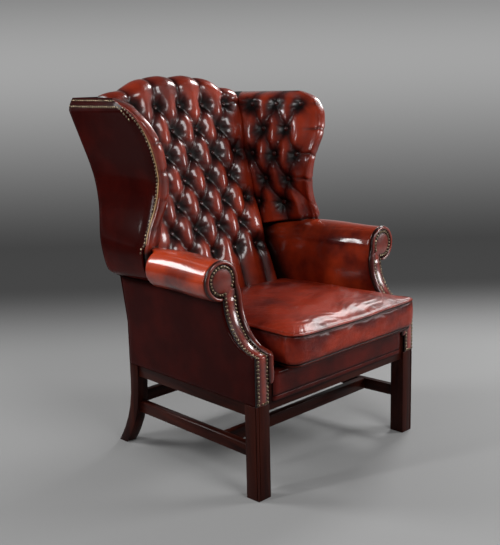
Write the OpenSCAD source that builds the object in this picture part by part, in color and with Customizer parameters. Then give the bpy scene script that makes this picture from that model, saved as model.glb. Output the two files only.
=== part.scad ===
// Buttoned leather wing armchair on square front legs, with a loose seat cushion.
// The chair stands on z = 0 and faces -Y. The origin is under the middle of its box.

/* [Overall] */
// Floor to the crest of the back
overall_h = 1120; // [1080:5:1180]
// Front of the seat cushion to the rear of the crest
overall_depth = 814; // [790:2:850]

/* [Legs and rails] */
// Width over the front legs
base_front_w = 706; // [680:2:740]
// Width over the rear legs
base_rear_w = 648; // [630:2:670]
// Front face of the front legs to the rear face of the rear posts
base_d = 574; // [560:2:600]
// Seat cushion's overhang in front of the front legs
cushion_overhang = 60; // [45:1:70]
// Floor to the lower edge of the leather
leg_h = 268; // [240:1:290]
// Side of the square front legs
front_leg_w = 47; // [42:1:56]
// Width of the rear posts
rear_post_w = 38; // [34:1:44]
// Depth of the rear posts
rear_post_d = 37; // [34:1:42]
// How far the rear feet are swept back
rear_sweep = 71; // [40:1:90]
// Height over which the rear legs sweep
sweep_h = 215; // [180:1:235]
// Thickness of the seat rails
rail_t = 28; // [22:1:34]
// Height of the seat rails above the leather's edge
rail_rise = 66; // [56:1:76]
// Side rail that shows below the leather
side_rail_show = 36; // [20:1:44]
// Front rail that shows below the leather
front_rail_show = 23; // [14:1:30]
// Set-back of the rails and leg heads behind the leather
leather_rebate = 7; // [6:0.5:8]
// Floor to the underside of the side stretchers
stretcher_z = 113; // [80:1:130]
// Height of the stretchers
stretcher_h = 35; // [28:1:40]
// Thickness of the stretchers
stretcher_t = 22; // [18:1:26]
// Front of the front legs to the middle of the cross stretcher
cross_setback = 166; // [120:1:260]
// Floor to the underside of the rear stretcher
rear_stretcher_z = 140; // [120:1:155]
// Width of the groove beside each leg's corner bead
bead_groove = 2.4; // [1.6:0.2:3]
// Side of the glued corner blocks
corner_block = 52; // [40:1:60]

/* [Seat] */
// Floor to the top of the sprung deck
deck_h = 358; // [352:1:366]
// Width of the seat cushion at the front
cushion_front_w = 546; // [530:2:552]
// Width of the seat cushion at the rear
cushion_rear_w = 500; // [480:2:510]
// Height of the cushion's boxing
cushion_boxing = 98; // [80:1:110]
// Rise of the cushion's crown over its top seam
cushion_crown = 34; // [20:1:44]
// Draw-in of the cushion's sides between its corners
cushion_drawn = 7; // [4:0.5:10]
// Leather of the cushion's cover
cushion_leather = 2; // [1.5:0.1:3]
// Gap between the cushion and the seat
cushion_gap = 0.3; // [0.2:0.1:1]
// Diameter of the spring wire
spring_wire = 3.8; // [3.2:0.1:4.5]
// Number of zigzag seat springs
spring_count = 5; // [4:1:6]
// Length of the cushion's zip
zip_len = 400; // [340:10:420]
// Width of the zip tape
zip_tape_w = 24; // [18:1:28]

/* [Arms] */
// Floor to the top of the arms
arm_h = 650; // [630:1:670]
// Diameter of the arm roll
arm_roll_d = 112; // [104:1:118]
// Roll's axis outside the line of the leg
arm_roll_out = 7; // [3:1:12]
// Scroll's face behind the front of the leg
scroll_setback = 120; // [110:1:135]
// Floor to the foot of the arm's curve
arm_curve_z = 405; // [398:1:415]
// Width of the flat facing
facing_w = 42; // [38:1:46]
// Width of the padded border beside the facing
arm_border = 20; // [16:1:24]
// Inside face of the arm from the line of the leg
arm_pad_w = 75; // [72:0.5:76]
// Thickness of the arm's wooden parts
arm_wood_t = 30; // [26:1:32]
// Leather and board of the outside panels
panel_t = 4; // [3:0.5:5]

/* [Back and wings] */
// Floor to the top of the wings
wing_top = 1074; // [1050:1:1080]
// Half width over the waist of the wings
wing_waist = 336; // [332:1:345]
// How far the wings flare from the waist to the top
wing_flare = 86; // [70:1:96]
// Half width that the rear of the wings tends to
wing_rear_w = 360; // [350:1:370]
// Foremost point of the wings behind the front of the leg
wing_setback = 373; // [360:1:390]
// Thickness of the wing's wooden stick
wing_stick = 24; // [20:1:28]
// Padding in front of the wing stick
wing_roll = 14; // [10:1:20]
// Half width of the inside back at its waist
back_waist = 244; // [236:1:250]
// Half width of the inside back at the top
back_top_w = 275; // [265:1:282]
// Flat part of the crest on each side of the middle
crest_flat = 80; // [60:1:100]
// Half width of the raised crest
crest_half = 260; // [240:1:270]
// Leather of the inside back above the crest rail
crest_pad = 16; // [12:1:22]
// Button plane behind the leg's front, at seat height
back_set = 500; // [492:1:508]
// Rearward lean of the button plane for each unit of height
back_lean = 0.3; // [0.27:0.01:0.32]
// Height of the crowns between the buttons
tuft_d = 26; // [18:1:30]
// Distance between the buttons of one row
tuft_w = 100; // [96:1:104]
// Distance between the button rows
tuft_h = 77; // [74:1:79]
// Floor to the lowest row of buttons
tuft_z = 573; // [565:1:585]
// Depth of the tufts on the wings
wing_tuft_d = 14; // [8:1:18]
// Distance between buttons on the wings
wing_tuft_w = 82.5; // [78:0.5:88]
// Distance between rows on the wings
wing_tuft_h = 81; // [76:1:84]
// Diameter of the covered buttons
button_d = 17; // [13:1:20]

/* [Nails] */
// Diameter of the nail heads
nail_d = 8.6; // [7:0.2:10]
// Height of the nail heads
nail_h = 2.4; // [1.6:0.1:3]
// Distance from nail to nail
nail_pitch = 15; // [12:0.5:18]

/* [Hidden] */

$fn = 48;
cut = 1;
soft_gap = 0.3;

// Reference planes, all measured from the middle of the box
front_y = -overall_depth / 2;
leg_y = front_y + cushion_overhang;
post_rear_y = leg_y + base_d;
post_front_y = post_rear_y - rear_post_d;
front_half = base_front_w / 2;
rear_half = base_rear_w / 2;
post_half = rear_half - leather_rebate;
rail_top = leg_h + rail_rise;
side_angle = atan((front_half - rear_half) / base_d);
rake_z = leg_h + 2 * rail_rise;
back_rake = overall_depth / 2 - post_rear_y;
rake_curve_share = 0.34;
roll_r = arm_roll_d / 2;
roll_z = arm_h - roll_r;
wing_front_y = leg_y + wing_setback;
back_ref_z = tuft_z - 4 * tuft_h / 3;
low_tuft = 0.4 * tuft_d;
border_t = leather_rebate + rail_t;
facing_t = leather_rebate;
scroll_r = roll_r - 1.7 * facing_t;
zip_slider_t = 2 * cushion_leather;
stretcher_side_share = 0.4;
post_inner = rear_half - rear_post_w;
web_t = panel_t / 2;
wing_cap_t = crest_pad / 2;

function mix(a, b, t) = a + (b - a) * t;
function clamp01(t) = min(1, max(0, t));
function smooth(t) = let (c = clamp01(t)) c * c * (3 - 2 * c);
// Value of a table of [place, value] rows at a place, on straight lines between the rows
function along(table, t, i = 0) =
    i >= len(table) - 2 || t < table[i + 1][0]
        ? mix(table[i][1], table[i + 1][1],
              clamp01((t - table[i][0]) / (table[i + 1][0] - table[i][0])))
        : along(table, t, i + 1);
function flip(points) = [for (i = [len(points) - 1:-1:0]) points[i]];

// Rear face of the upholstered back: upright at the seat, then raked on short straight lengths
rake_steps = 7;
rake_line = concat([[leg_h, post_rear_y]], [for (i = [0:rake_steps]) let (t = i / rake_steps)
    [mix(rake_z, overall_h, t), post_rear_y + back_rake * mix(t, t * t, rake_curve_share)]]);
function back_rear_y(z) = along(rake_line, z);
// Heights between two limits at which every outline of the back has a point
function back_zs(z0, z1) =
    concat([z0], [for (row = rake_line) if (row[0] > z0 + soft_gap && row[0] < z1 - soft_gap) row[0]], [z1]);
function frame_rear_y(z) = back_rear_y(z) - (z < leg_h ? 0 : panel_t);
function frame_front_y(z) = back_rear_y(z) - rear_post_d;
// Height of the crest above the floor across the width
function crest_z(x) =
    wing_top + (overall_h - wing_top) * smooth((crest_half - abs(x)) / (crest_half - crest_flat));

// Mirrors a right-hand piece for the left-hand side
module side(s) {
    mirror([s < 0 ? 1 : 0, 0, 0]) children();
}
// Local frame of an arm: x outwards from the leg's line, y rearwards along the side rail
module arm_frame() {
    translate([front_half, leg_y, 0]) rotate([0, 0, side_angle]) children();
}
// Extrudes an outline drawn in (y, z) along x, from x0 to x1
module slab(x0, x1) {
    translate([x0, 0, 0]) rotate([90, 0, 90]) linear_extrude(x1 - x0) children();
}
// Extrudes an outline drawn in (x, z) along y, from y0 to y1
module wall(y0, y1) {
    translate([0, y1, 0]) rotate([90, 0, 0]) linear_extrude(y1 - y0) children();
}
// Triangles over a ring of points: a fan from one vertex, or a ladder between its two long sides
function fan(n, from) = [for (k = [1:n - 2]) [from, (from + k) % n, (from + k + 1) % n]];
function ladder(ring, a, b) =
    b - a < 2 ? []
    : ring[a + 1][2] <= ring[b - 1][2] ? concat([[a, a + 1, b]], ladder(ring, a + 1, b))
    : concat([[a, b - 1, b]], ladder(ring, a, b - 1));
// Closed solid between like rings of points
module loft(rings, fan_from = -1) {
    n = len(rings[0]);
    m = len(rings);
    function cap(ring) = fan_from < 0 ? ladder(ring, 0, n - 1) : fan(n, fan_from);
    polyhedron(
        [for (r = rings) for (p = r) p],
        concat(
            [for (j = [0:m - 2]) for (i = [0:n - 1]) let (a = j * n + i, b = j * n + (i + 1) % n)
                [a, b, b + n]],
            [for (j = [0:m - 2]) for (i = [0:n - 1]) let (a = j * n + i, b = j * n + (i + 1) % n)
                [a, b + n, a + n]],
            [for (f = cap(rings[0])) flip(f)],
            [for (f = cap(rings[m - 1])) [for (v = f) v + (m - 1) * n]]
        ),
        convexity = 8
    );
}

// Legs, posts and rails

groove_inset = 2 * bead_groove;
// Square front leg with a bead between two grooves at its outer corner; its head is set back
module front_leg() {
    difference() {
        translate([front_half - front_leg_w, leg_y, 0]) cube([front_leg_w, front_leg_w, leg_h]);
        translate([front_half - groove_inset - bead_groove, leg_y - cut, -cut])
            cube([bead_groove, bead_groove + cut, leg_h + 2 * cut]);
        translate([front_half - bead_groove, leg_y + groove_inset, -cut])
            cube([bead_groove + cut, bead_groove, leg_h + 2 * cut]);
    }
    translate([front_half - front_leg_w, leg_y + leather_rebate, leg_h])
        cube([front_leg_w - leather_rebate, front_leg_w - leather_rebate, rail_rise]);
}
module front_legs_both() {
    for (s = [-1, 1]) side(s) front_leg();
}

post_sweep_shares = [[0, 1], [0.12, 0.76], [0.25, 0.53], [0.4, 0.32], [0.6, 0.13], [0.8, 0.03], [1, 0]];
function sweep_y(z) = rear_sweep * along(post_sweep_shares, z / sweep_h);
crest_rail_drop = 2 * crest_pad;
post_top = wing_top - crest_rail_drop;
post_zs = back_zs(leg_h, post_top);
post_outline = concat(
    [for (row = post_sweep_shares) let (z = row[0] * sweep_h)
        [post_front_y + rear_sweep * row[1], z]],
    [for (i = [1:len(post_zs) - 1]) [frame_front_y(post_zs[i]), post_zs[i]]],
    [for (i = [len(post_zs) - 1:-1:0]) [frame_rear_y(post_zs[i]), post_zs[i]]],
    [[post_rear_y, leg_h]],
    [for (row = flip(post_sweep_shares)) let (z = row[0] * sweep_h)
        [post_rear_y + rear_sweep * row[1], z]]
);
// Rear leg and back upright in one piece, swept back at the foot and raked at the top
module rear_post() {
    difference() {
        slab(rear_half - rear_post_w, rear_half) polygon(post_outline);
        translate([post_half, post_front_y - rear_post_d, leg_h])
            cube([leather_rebate + cut, rear_post_d + back_rake + rear_post_d, post_top]);
    }
}

rail_z = leg_h - side_rail_show;
front_rail_z = leg_h - front_rail_show;
module front_seat_rail() {
    color("#3a140e") difference() {
        translate([-front_half + front_leg_w / 2, leg_y + leather_rebate, front_rail_z])
            cube([base_front_w - front_leg_w, rail_t, rail_top - front_rail_z]);
        front_legs_both();
    }
}
module side_seat_rail() {
    difference() {
        arm_frame() translate([-leather_rebate - rail_t, front_leg_w / 2, rail_z])
            cube([rail_t, base_d - front_leg_w / 2 - rear_post_d / 2, rail_top - rail_z]);
        side(1) front_leg();
        rear_post();
    }
}
module rear_seat_rail() {
    color("#3a140e") translate([-rear_half + rear_post_w, post_front_y, leg_h])
        cube([base_rear_w - 2 * rear_post_w, rail_t, rail_rise]);
}
// Three-cornered blocks glued and screwed into the inner corners of the seat frame
module corner_blocks() {
    block_h = rail_rise - rail_t / 2;
    inner_x = front_half - leather_rebate - rail_t;
    color("#c8a878") difference() {
        for (s = [-1, 1]) side(s) {
            translate([0, leg_y + leather_rebate + rail_t, leg_h]) linear_extrude(block_h)
                polygon([[inner_x - 2 * corner_block, 0], [inner_x, 0], [inner_x, 2 * corner_block]]);
            translate([0, post_front_y, leg_h]) linear_extrude(block_h)
                polygon([[inner_x - 2 * corner_block, 0], [inner_x - 2 * corner_block, -rail_t],
                    [inner_x - rail_t, -2 * corner_block], [inner_x, -2 * corner_block],
                    [inner_x, 0]]);
        }
        for (s = [-1, 1]) side(s) {
            front_leg();
            rear_post();
            arm_frame() translate([-leather_rebate - rail_t, 0, 0])
                cube([base_front_w, base_d, overall_h]);
        }
    }
}

stretcher_chamfer = stretcher_t / 6;
stretcher_section = [[0, 0], [stretcher_t, 0], [stretcher_t, stretcher_h - stretcher_chamfer],
    [stretcher_t - stretcher_chamfer, stretcher_h], [0, stretcher_h]];
stretcher_inset = (front_leg_w - stretcher_t) / 2;
module side_stretcher() {
    difference() {
        arm_frame() translate([-stretcher_inset - stretcher_t, front_leg_w / 2, stretcher_z])
            rotate([90, 0, 0]) translate([0, 0, -base_d + front_leg_w - rear_sweep * stretcher_side_share])
            linear_extrude(base_d - front_leg_w + rear_sweep * stretcher_side_share)
            polygon(stretcher_section);
        front_leg();
        rear_post();
    }
}
cross_y = leg_y + cross_setback;
module cross_stretcher() {
    color("#3a140e") difference() {
        translate([-front_half + front_leg_w / 2, cross_y - stretcher_t / 2, stretcher_z])
            cube([base_front_w - front_leg_w, stretcher_t, stretcher_h]);
        for (s = [-1, 1]) side(s) arm_frame()
            translate([-stretcher_inset - stretcher_t, 0, 0]) cube([base_front_w, base_d, leg_h]);
    }
}
module rear_stretcher() {
    mid_y = post_front_y + rear_post_d / 2 + sweep_y(rear_stretcher_z + stretcher_h / 2);
    color("#3a140e") translate([-rear_half + rear_post_w, mid_y - stretcher_t / 2, rear_stretcher_z])
        cube([base_rear_w - 2 * rear_post_w, stretcher_t, stretcher_h]);
}

// Sprung seat

clip_t = spring_wire / 2;
clip_w = 5 * spring_wire;
clip_d = 4 * spring_wire;
spring_z = rail_top + clip_t + spring_wire / 2;
spring_y0 = leg_y + leather_rebate + rail_t / 2;
spring_y1 = post_front_y + rail_t / 2;
spring_run = spring_y1 - spring_y0;
spring_bends = 14;
spring_swing = 22;
spring_half = cushion_rear_w / 2 - 2 * spring_swing;
function spring_x(i) = mix(-spring_half, spring_half, i / (spring_count - 1));
spring_step = spring_run / spring_bends;
function spring_swing_at(k) =
    k == 0 || k == spring_bends ? 0 : (k % 2 == 0 ? -1 : 1) * spring_swing;
// Zigzag wire springs from the front rail to the rear rail
module seat_springs() {
    color("#8d9096") for (i = [0:spring_count - 1])
        translate([spring_x(i), spring_y0, spring_z - spring_wire / 2]) linear_extrude(spring_wire)
            polygon(concat(
                [for (k = [0:spring_bends]) [spring_swing_at(k) - 0.8 * spring_wire, k * spring_step]],
                [for (k = [spring_bends:-1:0])
                    [spring_swing_at(k) + 0.8 * spring_wire, k * spring_step]]
            ));
}
// Steel plates under the spring ends, nailed to the rails
module spring_clips() {
    color("#b0b2b6") for (i = [0:spring_count - 1]) for (y = [spring_y0, spring_y1])
        translate([spring_x(i) - clip_w / 2, y - clip_d / 2, rail_top]) cube([clip_w, clip_d, clip_t]);
}
deck_pad_z = spring_z + spring_wire / 2;
deck_half = front_half - arm_pad_w - soft_gap;
deck_rear_half = cushion_rear_w / 2;
// Felt pad and deck cloth over the springs
module deck_pad() {
    deck_front_y = leg_y + border_t + soft_gap;
    deck_rear_y = pad_front_y(deck_h) - soft_gap;
    color("#2b1512") translate([0, 0, deck_pad_z]) linear_extrude(deck_h - deck_pad_z)
        polygon([[-deck_half, deck_front_y], [deck_half, deck_front_y],
            [deck_rear_half, deck_rear_y], [-deck_rear_half, deck_rear_y]]);
}
dust_t = panel_t / 4;
// Black cloth tacked under the seat frame, inside the rails
module dust_cover() {
    color("#161414") difference() {
        translate([-front_half, leg_y + leather_rebate + rail_t, leg_h - dust_t])
            cube([base_front_w, base_d - rear_post_d - leather_rebate - rail_t, dust_t]);
        for (s = [-1, 1]) side(s) {
            front_leg();
            rear_post();
            arm_frame() translate([-leather_rebate - rail_t, 0, 0])
                cube([base_front_w, base_d, overall_h]);
        }
    }
}
border_half = front_half - facing_w - arm_border - sin(side_angle) * border_t;
lip_r = rail_t / 3;
// Leather-covered front border, padded over the front rail up to the deck
module front_border() {
    color("#5c100c") difference() {
        slab(-border_half, border_half) union() {
            translate([leg_y, leg_h]) square([border_t, deck_h - leg_h - lip_r]);
            translate([leg_y + lip_r, leg_h]) square([border_t - lip_r, deck_h - leg_h]);
            translate([leg_y + lip_r, deck_h - lip_r]) circle(lip_r);
        }
        front_seat_rail();
        for (s = [-1, 1]) side(s) front_leg();
        seat_springs();
        spring_clips();
    }
}

// Seat cushion

cushion_z = deck_h + cushion_gap;
cushion_rear_y = pad_front_y(deck_h) - low_tuft - zip_slider_t;
cushion_d = cushion_rear_y - front_y;
cushion_cols = 14;
cushion_rows = 12;
// Plan of the cushion at a place along its depth and across its width, both from 0 to 1
function cushion_half(t) = mix(cushion_front_w, cushion_rear_w, t) / 2;
function cushion_side_in(t) = cushion_drawn * sin(180 * t);
function cushion_crown_z(u, t) =
    cushion_crown * pow(sin(180 * clamp01(u)), 0.6) * pow(sin(180 * clamp01(t)), 0.45);
function cushion_point(u, t, z, pull, inset) =
    let (half = cushion_half(t) - inset - pull * cushion_side_in(t),
         front = front_y + inset + pull * cushion_side_in(u) * (1 - t))
    [mix(-half, half, u), mix(front, cushion_rear_y - inset, t), z];
// One closed skin: crowned top, boxing that draws in between its corners, flat underside
module cushion_form(inset) {
    n = cushion_cols;
    m = cushion_rows;
    mid_z = cushion_z + cushion_boxing / 2;
    function rim(k) = k < n ? [k / n, 0] : k < n + m ? [1, (k - n) / m]
        : k < 2 * n + m ? [1 - (k - n - m) / n, 1] : [0, 1 - (k - 2 * n - m) / m];
    rims = 2 * (n + m);
    function rim_z(level) = level == 0 ? cushion_z + inset : level == 1 ? mid_z
        : cushion_z + cushion_boxing - inset;
    function inner(i, j) = 3 * rims + (j - 1) * (n - 1) + i - 1;
    function top_at(i, j) = j == 0 ? 2 * rims + i : i == n ? 2 * rims + n + j
        : j == m ? 2 * rims + n + m + (n - i) : i == 0 ? 2 * rims + (2 * n + 2 * m - j) % rims
        : inner(i, j);
    points = concat(
        [for (level = [0:2]) for (k = [0:rims - 1]) let (r = rim(k))
            cushion_point(r[0], r[1], rim_z(level), level == 1 ? 1 : 0.45, inset)],
        [for (j = [1:m - 1]) for (i = [1:n - 1])
            cushion_point(i / n, j / m, rim_z(2) + cushion_crown_z(i / n, j / m), 0.45, inset)],
        [cushion_point(0.5, 0.5, rim_z(0), 0, inset)]
    );
    hub = len(points) - 1;
    polyhedron(points, concat(
        [for (level = [0:1]) for (k = [0:rims - 1]) let (a = level * rims + k,
            b = level * rims + (k + 1) % rims) [a, b + rims, b]],
        [for (level = [0:1]) for (k = [0:rims - 1]) let (a = level * rims + k,
            b = level * rims + (k + 1) % rims) [a, a + rims, b + rims]],
        [for (j = [0:m - 1]) for (i = [0:n - 1]) [top_at(i, j), top_at(i + 1, j + 1), top_at(i + 1, j)]],
        [for (j = [0:m - 1]) for (i = [0:n - 1]) [top_at(i, j), top_at(i, j + 1), top_at(i + 1, j + 1)]],
        [for (k = [0:rims - 1]) [k, (k + 1) % rims, hub]]
    ), convexity = 6);
}
core_inset = cushion_leather + soft_gap;
core_z = cushion_z + core_inset;
core_h = cushion_boxing - 2 * core_inset;
module core_block(grow) {
    pull = cushion_drawn + core_inset;
    translate([0, 0, core_z - grow]) linear_extrude(core_h + 2 * grow) polygon([
        [-cushion_front_w / 2 + pull - grow, front_y + pull - grow],
        [cushion_front_w / 2 - pull + grow, front_y + pull - grow],
        [cushion_rear_w / 2 - pull + grow, cushion_rear_y - core_inset + grow],
        [-cushion_rear_w / 2 + pull - grow, cushion_rear_y - core_inset + grow]]);
}
// Leather cover with its down wrap, closed round the core
module cushion_cover() {
    color("#8a1a10") difference() {
        cushion_form(0);
        core_block(soft_gap);
    }
}
// Foam core inside the cover
module cushion_core() {
    color("#e6d9b0") core_block(0);
}
zip_tape_t = cushion_leather;
zip_slider_w = zip_tape_w / 2;
zip_z = cushion_z + cushion_boxing / 2;
zip_gap = soft_gap / 3;
module zip_tape() {
    color("#2a1210") translate([-zip_len / 2 - zip_slider_w, cushion_rear_y, zip_z - zip_tape_w / 2])
        cube([zip_len + 2 * zip_slider_w, zip_tape_t, zip_tape_w]);
}
// Metal slider with its pull tab; it rests at the closed end
module zip_slider() {
    color("#b08a4a") translate([-zip_len / 2, cushion_rear_y + zip_tape_t + zip_gap, zip_z]) {
        translate([-zip_slider_w / 2, 0, -zip_slider_w / 2])
            cube([zip_slider_w, zip_slider_t / 2, zip_slider_w]);
        translate([-zip_slider_w / 4, zip_slider_t / 2, -zip_slider_w])
            cube([zip_slider_w / 2, zip_slider_t / 4, zip_slider_w]);
    }
}

// Arms, drawn in the arm's own frame

curve_top = roll_z - scroll_r;
curve_rise = curve_top - arm_curve_z;
curve_steps = 10;
// Point of the arm's front curve at an angle, moved into the arm by a distance
function curve_normal(t) =
    let (n = [curve_rise * sin(t), -scroll_setback * cos(t)]) n / norm(n);
function curve_point(t, d) =
    let (p = [scroll_setback * sin(t), curve_top - curve_rise * cos(t)] + d * curve_normal(t))
    [max(d, p[0]), p[1]];
function arm_curve(d, bottom, top) = concat(
    [[d, bottom]],
    [for (i = [0:curve_steps]) curve_point(90 * i / curve_steps, d)],
    [[scroll_setback + d, top]]
);
module band(d0, d1, bottom, top) {
    polygon(concat(arm_curve(d0, bottom, top), flip(arm_curve(d1, bottom, top))));
}
module roll_axis(v) {
    translate([arm_roll_out, v, roll_z]) rotate([-90, 0, 0]) children();
}

stump_d = 1.5 * arm_wood_t;
// Shaped upright that carries the arm, standing on the front leg's head
module arm_stump() {
    arm_frame() slab(-leather_rebate - arm_wood_t, -leather_rebate)
        band(facing_t, facing_t + stump_d, rail_top, roll_z - arm_wood_t);
}
// Straight rail from the upright to the rear post
module arm_rail() {
    difference() {
        arm_frame() translate([-leather_rebate - arm_wood_t, scroll_setback + facing_t, roll_z - arm_wood_t])
            cube([arm_wood_t, base_d - scroll_setback, arm_wood_t]);
        rear_post();
        translate([0, frame_front_y(roll_z - arm_wood_t) + rear_post_d / 2, 0])
            cube([base_front_w, overall_depth, overall_h]);
    }
}
roll_end = wing_setback + 2 * facing_t;
wing_base_z = roll_z + facing_t;
pad_tuck = 2 * facing_t;
pad_levels = 4;
function pad_level(i) = mix(deck_h, wing_base_z - soft_gap, i / pad_levels);
// Stuffed roll and inside arm, shaped round the wooden parts
module arm_pad() {
    difference() {
        arm_frame() {
            roll_axis(scroll_setback + facing_t) cylinder(h = roll_end - scroll_setback - facing_t, r = roll_r);
            slab(-arm_pad_w, -leather_rebate) polygon(concat(
                arm_curve(facing_t, deck_h, roll_z),
                [[roll_end, roll_z], [roll_end, wing_base_z - soft_gap]],
                [for (i = [pad_levels:-1:0])
                    [pad_front_y(pad_level(i)) - low_tuft - leg_y - pad_tuck, pad_level(i)]]
            ));
        }
        arm_stump();
        arm_rail();
        outside_arm();
    }
}
// Flat leather strip on the arm's front with the round scroll at its head
module arm_facing() {
    arm_frame() {
        slab(-facing_w, 0) band(0, facing_t, leg_h, roll_z - scroll_r / 2);
        roll_axis(scroll_setback) cylinder(h = facing_t, r = scroll_r);
    }
}
border_bulge = arm_border / 2;
ring_w = roll_r - scroll_r - soft_gap;
// Padded border on the inner side of the facing and round the scroll
module arm_border() {
    difference() {
        arm_frame() {
            slab(-facing_w - arm_border, -facing_w)
                band(-border_bulge, facing_t, leg_h, roll_z - scroll_r / 2);
            roll_axis(scroll_setback + facing_t) rotate_extrude() translate([scroll_r + soft_gap, 0])
                polygon([[0, -facing_t], [ring_w / 2, -1.4 * facing_t], [ring_w, -facing_t], [ring_w, 0],
                    [0, 0]]);
        }
        arm_facing();
        arm_stump();
        outside_arm();
    }
}
skin_z = roll_z - roll_r + 1.5 * panel_t;
// Leather-covered panel that closes the outside of the arm, from the facing to the rear
module outside_arm() {
    difference() {
        arm_frame() slab(-panel_t, 0) polygon(concat(
            arm_curve(facing_t, leg_h, skin_z),
            [for (i = [pad_levels:-1:0]) let (z = mix(leg_h, skin_z, i / pad_levels))
                [back_rear_y(z) - panel_t - leg_y, z]]
        ));
        arm_frame() roll_axis(0) cylinder(h = roll_end, r = roll_r);
    }
}

// Domed nails

module nail() {
    rotate_extrude() polygon([[0, 0], [nail_d / 2, 0], [nail_d * 0.42, nail_h / 2],
        [nail_d / 4, nail_h * 0.85], [0, nail_h]]);
}
// Turns a child that stands on z to stand along a direction
module aim(p, n) {
    translate(p) rotate([0, acos(n[2] / norm(n)), atan2(n[1], n[0])]) children();
}
function seg(points, i) = norm(points[i + 1] - points[i]);
function total(points, i = 0) = i >= len(points) - 1 ? 0 : seg(points, i) + total(points, i + 1);
function walk(points, s, i = 0) =
    i >= len(points) - 2 || s <= seg(points, i) ? mix(points[i], points[i + 1], s / seg(points, i))
        : walk(points, s - seg(points, i), i + 1);
nail_edge = nail_d / 2 + nail_h / 2;
nail_r = scroll_r - nail_edge;
nail_lift = nail_h / 6;
front_nails = floor((arm_curve_z - leg_h - 2 * nail_edge) / nail_pitch);
nail_curve = [for (i = [0:curve_steps]) curve_point(90 * i / curve_steps, 0)];
curve_nails = floor(total(nail_curve) / nail_pitch);
scroll_step = 360 * nail_pitch / (2 * PI * nail_r);
scroll_start = 198;
// Both edges of the facing, its foot and the scroll are close-nailed
module arm_nails() {
    arm_frame() {
        for (u = [-facing_w + nail_edge, -nail_edge]) {
            for (k = [0:front_nails])
                aim([u, 0, leg_h + nail_edge + k * nail_pitch], [0, -1, 0]) nail();
            for (k = [0.5:curve_nails - 0.5]) {
                p = walk(nail_curve, k * nail_pitch);
                t = asin(clamp01(p[0] / scroll_setback));
                n = curve_normal(t);
                aim([u, p[0] - nail_lift * n[0], p[1] - nail_lift * n[1]], [0, -n[0], -n[1]]) nail();
            }
        }
        for (k = [1:2]) let (u = mix(-facing_w + nail_edge, -nail_edge, k / 3))
            aim([u, 0, leg_h + nail_edge], [0, -1, 0]) nail();
        for (k = [0:floor(2 * (scroll_start - 40) / scroll_step / 1.05)])
            let (a = scroll_start - k * scroll_step)
            aim([arm_roll_out + nail_r * cos(a), scroll_setback, roll_z + nail_r * sin(a)], [0, -1, 0])
            nail();
    }
}

// Back

// Plane of the buttons, and how far the leather stands in front of it
function pad_front_y(z) = leg_y + back_set + back_lean * (z - back_ref_z);
function tuft(a, b) =
    let (p = abs(sin(180 * a)), q = abs(sin(180 * b))) (pow(max(p, q), 0.6) + pow(min(p, q), 0.6)) / 2;
button_rows = 7;
top_button_z = tuft_z + (button_rows - 1) * tuft_h;
function back_tuft(x, z) =
    let (u = x / tuft_w, w = (z - tuft_z) / tuft_h,
         fade = smooth((tuft_z - z) / tuft_h) + smooth((z - top_button_z) / (tuft_h / 2)))
    mix(tuft_d * tuft(u + w / 2, u - w / 2), low_tuft, clamp01(fade))
        * smooth((back_half(z) - abs(x)) / (1.5 * tuft_d));
back_w_shares = [0.08, 0.02, 0, 0, 0.28, 0.74];
back_w_line = concat([[deck_h, 0.5]],
    [for (i = [0:len(back_w_shares) - 1]) [rake_line[i + 2][0], back_w_shares[i]]], [[wing_top, 1]]);
function back_half(z) = mix(back_waist, back_top_w, along(back_w_line, z));
back_joint = 4 * soft_gap;
web_w = 48;

module back_strip(d0, d1, z0, z1, half) {
    zs = back_zs(z0, z1);
    slab(-half, half) polygon(concat(
        [for (z = zs) [frame_front_y(z) + d0, z]],
        [for (z = flip(zs)) [frame_front_y(z) + d1, z]]
    ));
}
crest_steps = 24;
function crest_line(half, drop) =
    [for (i = [0:crest_steps]) let (x = mix(-half, half, i / crest_steps)) [x, crest_z(x) - drop]];
crest_rail_h = 3 * crest_pad;
// Sawn crest rail between the posts, under the leather of the crest
module crest_rail() {
    color("#b8935f") intersection() {
        back_strip(0, rear_post_d - panel_t, wing_top - 2 * crest_rail_h, overall_h, post_inner);
        wall(post_front_y, overall_depth) polygon(concat(
            [[-post_inner, wing_top - crest_pad - crest_rail_h]],
            crest_line(post_inner, crest_pad + 3 * soft_gap),
            [[post_inner, wing_top - crest_pad - crest_rail_h]]
        ));
    }
}
lower_rail_z = deck_h + corner_block / 4;
module lower_back_rail() {
    color("#b8935f") back_strip(0, rail_t, lower_rail_z, lower_rail_z + corner_block, post_inner);
}
web_cols = 6;
web_rows = 7;
// Webbing strained over the front of the back frame
module back_webbing() {
    web_z0 = lower_rail_z + corner_block / 3;
    web_z1 = wing_top - crest_pad - crest_rail_h / 2;
    web_half = post_inner + rear_post_w / 2;
    color("#d9c9a3") difference() {
        intersection() {
            back_strip(-web_t, 0, web_z0, web_z1, web_half);
            wall(leg_y, overall_depth) {
                for (i = [0:web_cols - 1]) translate(
                    [mix(-web_half + web_w, web_half - 2 * web_w, i / (web_cols - 1)), web_z0])
                    square([web_w, web_z1 - web_z0]);
                for (i = [0:web_rows - 1]) translate(
                    [-web_half, mix(web_z0 + web_w, post_top - 2 * web_w, i / (web_rows - 1))])
                    square([2 * web_half, web_w]);
            }
        }
        for (s = [-1, 1]) side(s) arm_rail();
    }
}
back_dx = tuft_w / 6;
back_dz = tuft_h / 3;
back_side_cols = 14;
back_pad_zs = [for (z = flip(back_zs(deck_h, wing_top - 2 * crest_pad))) z];
back_low_rows = 6;
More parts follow.
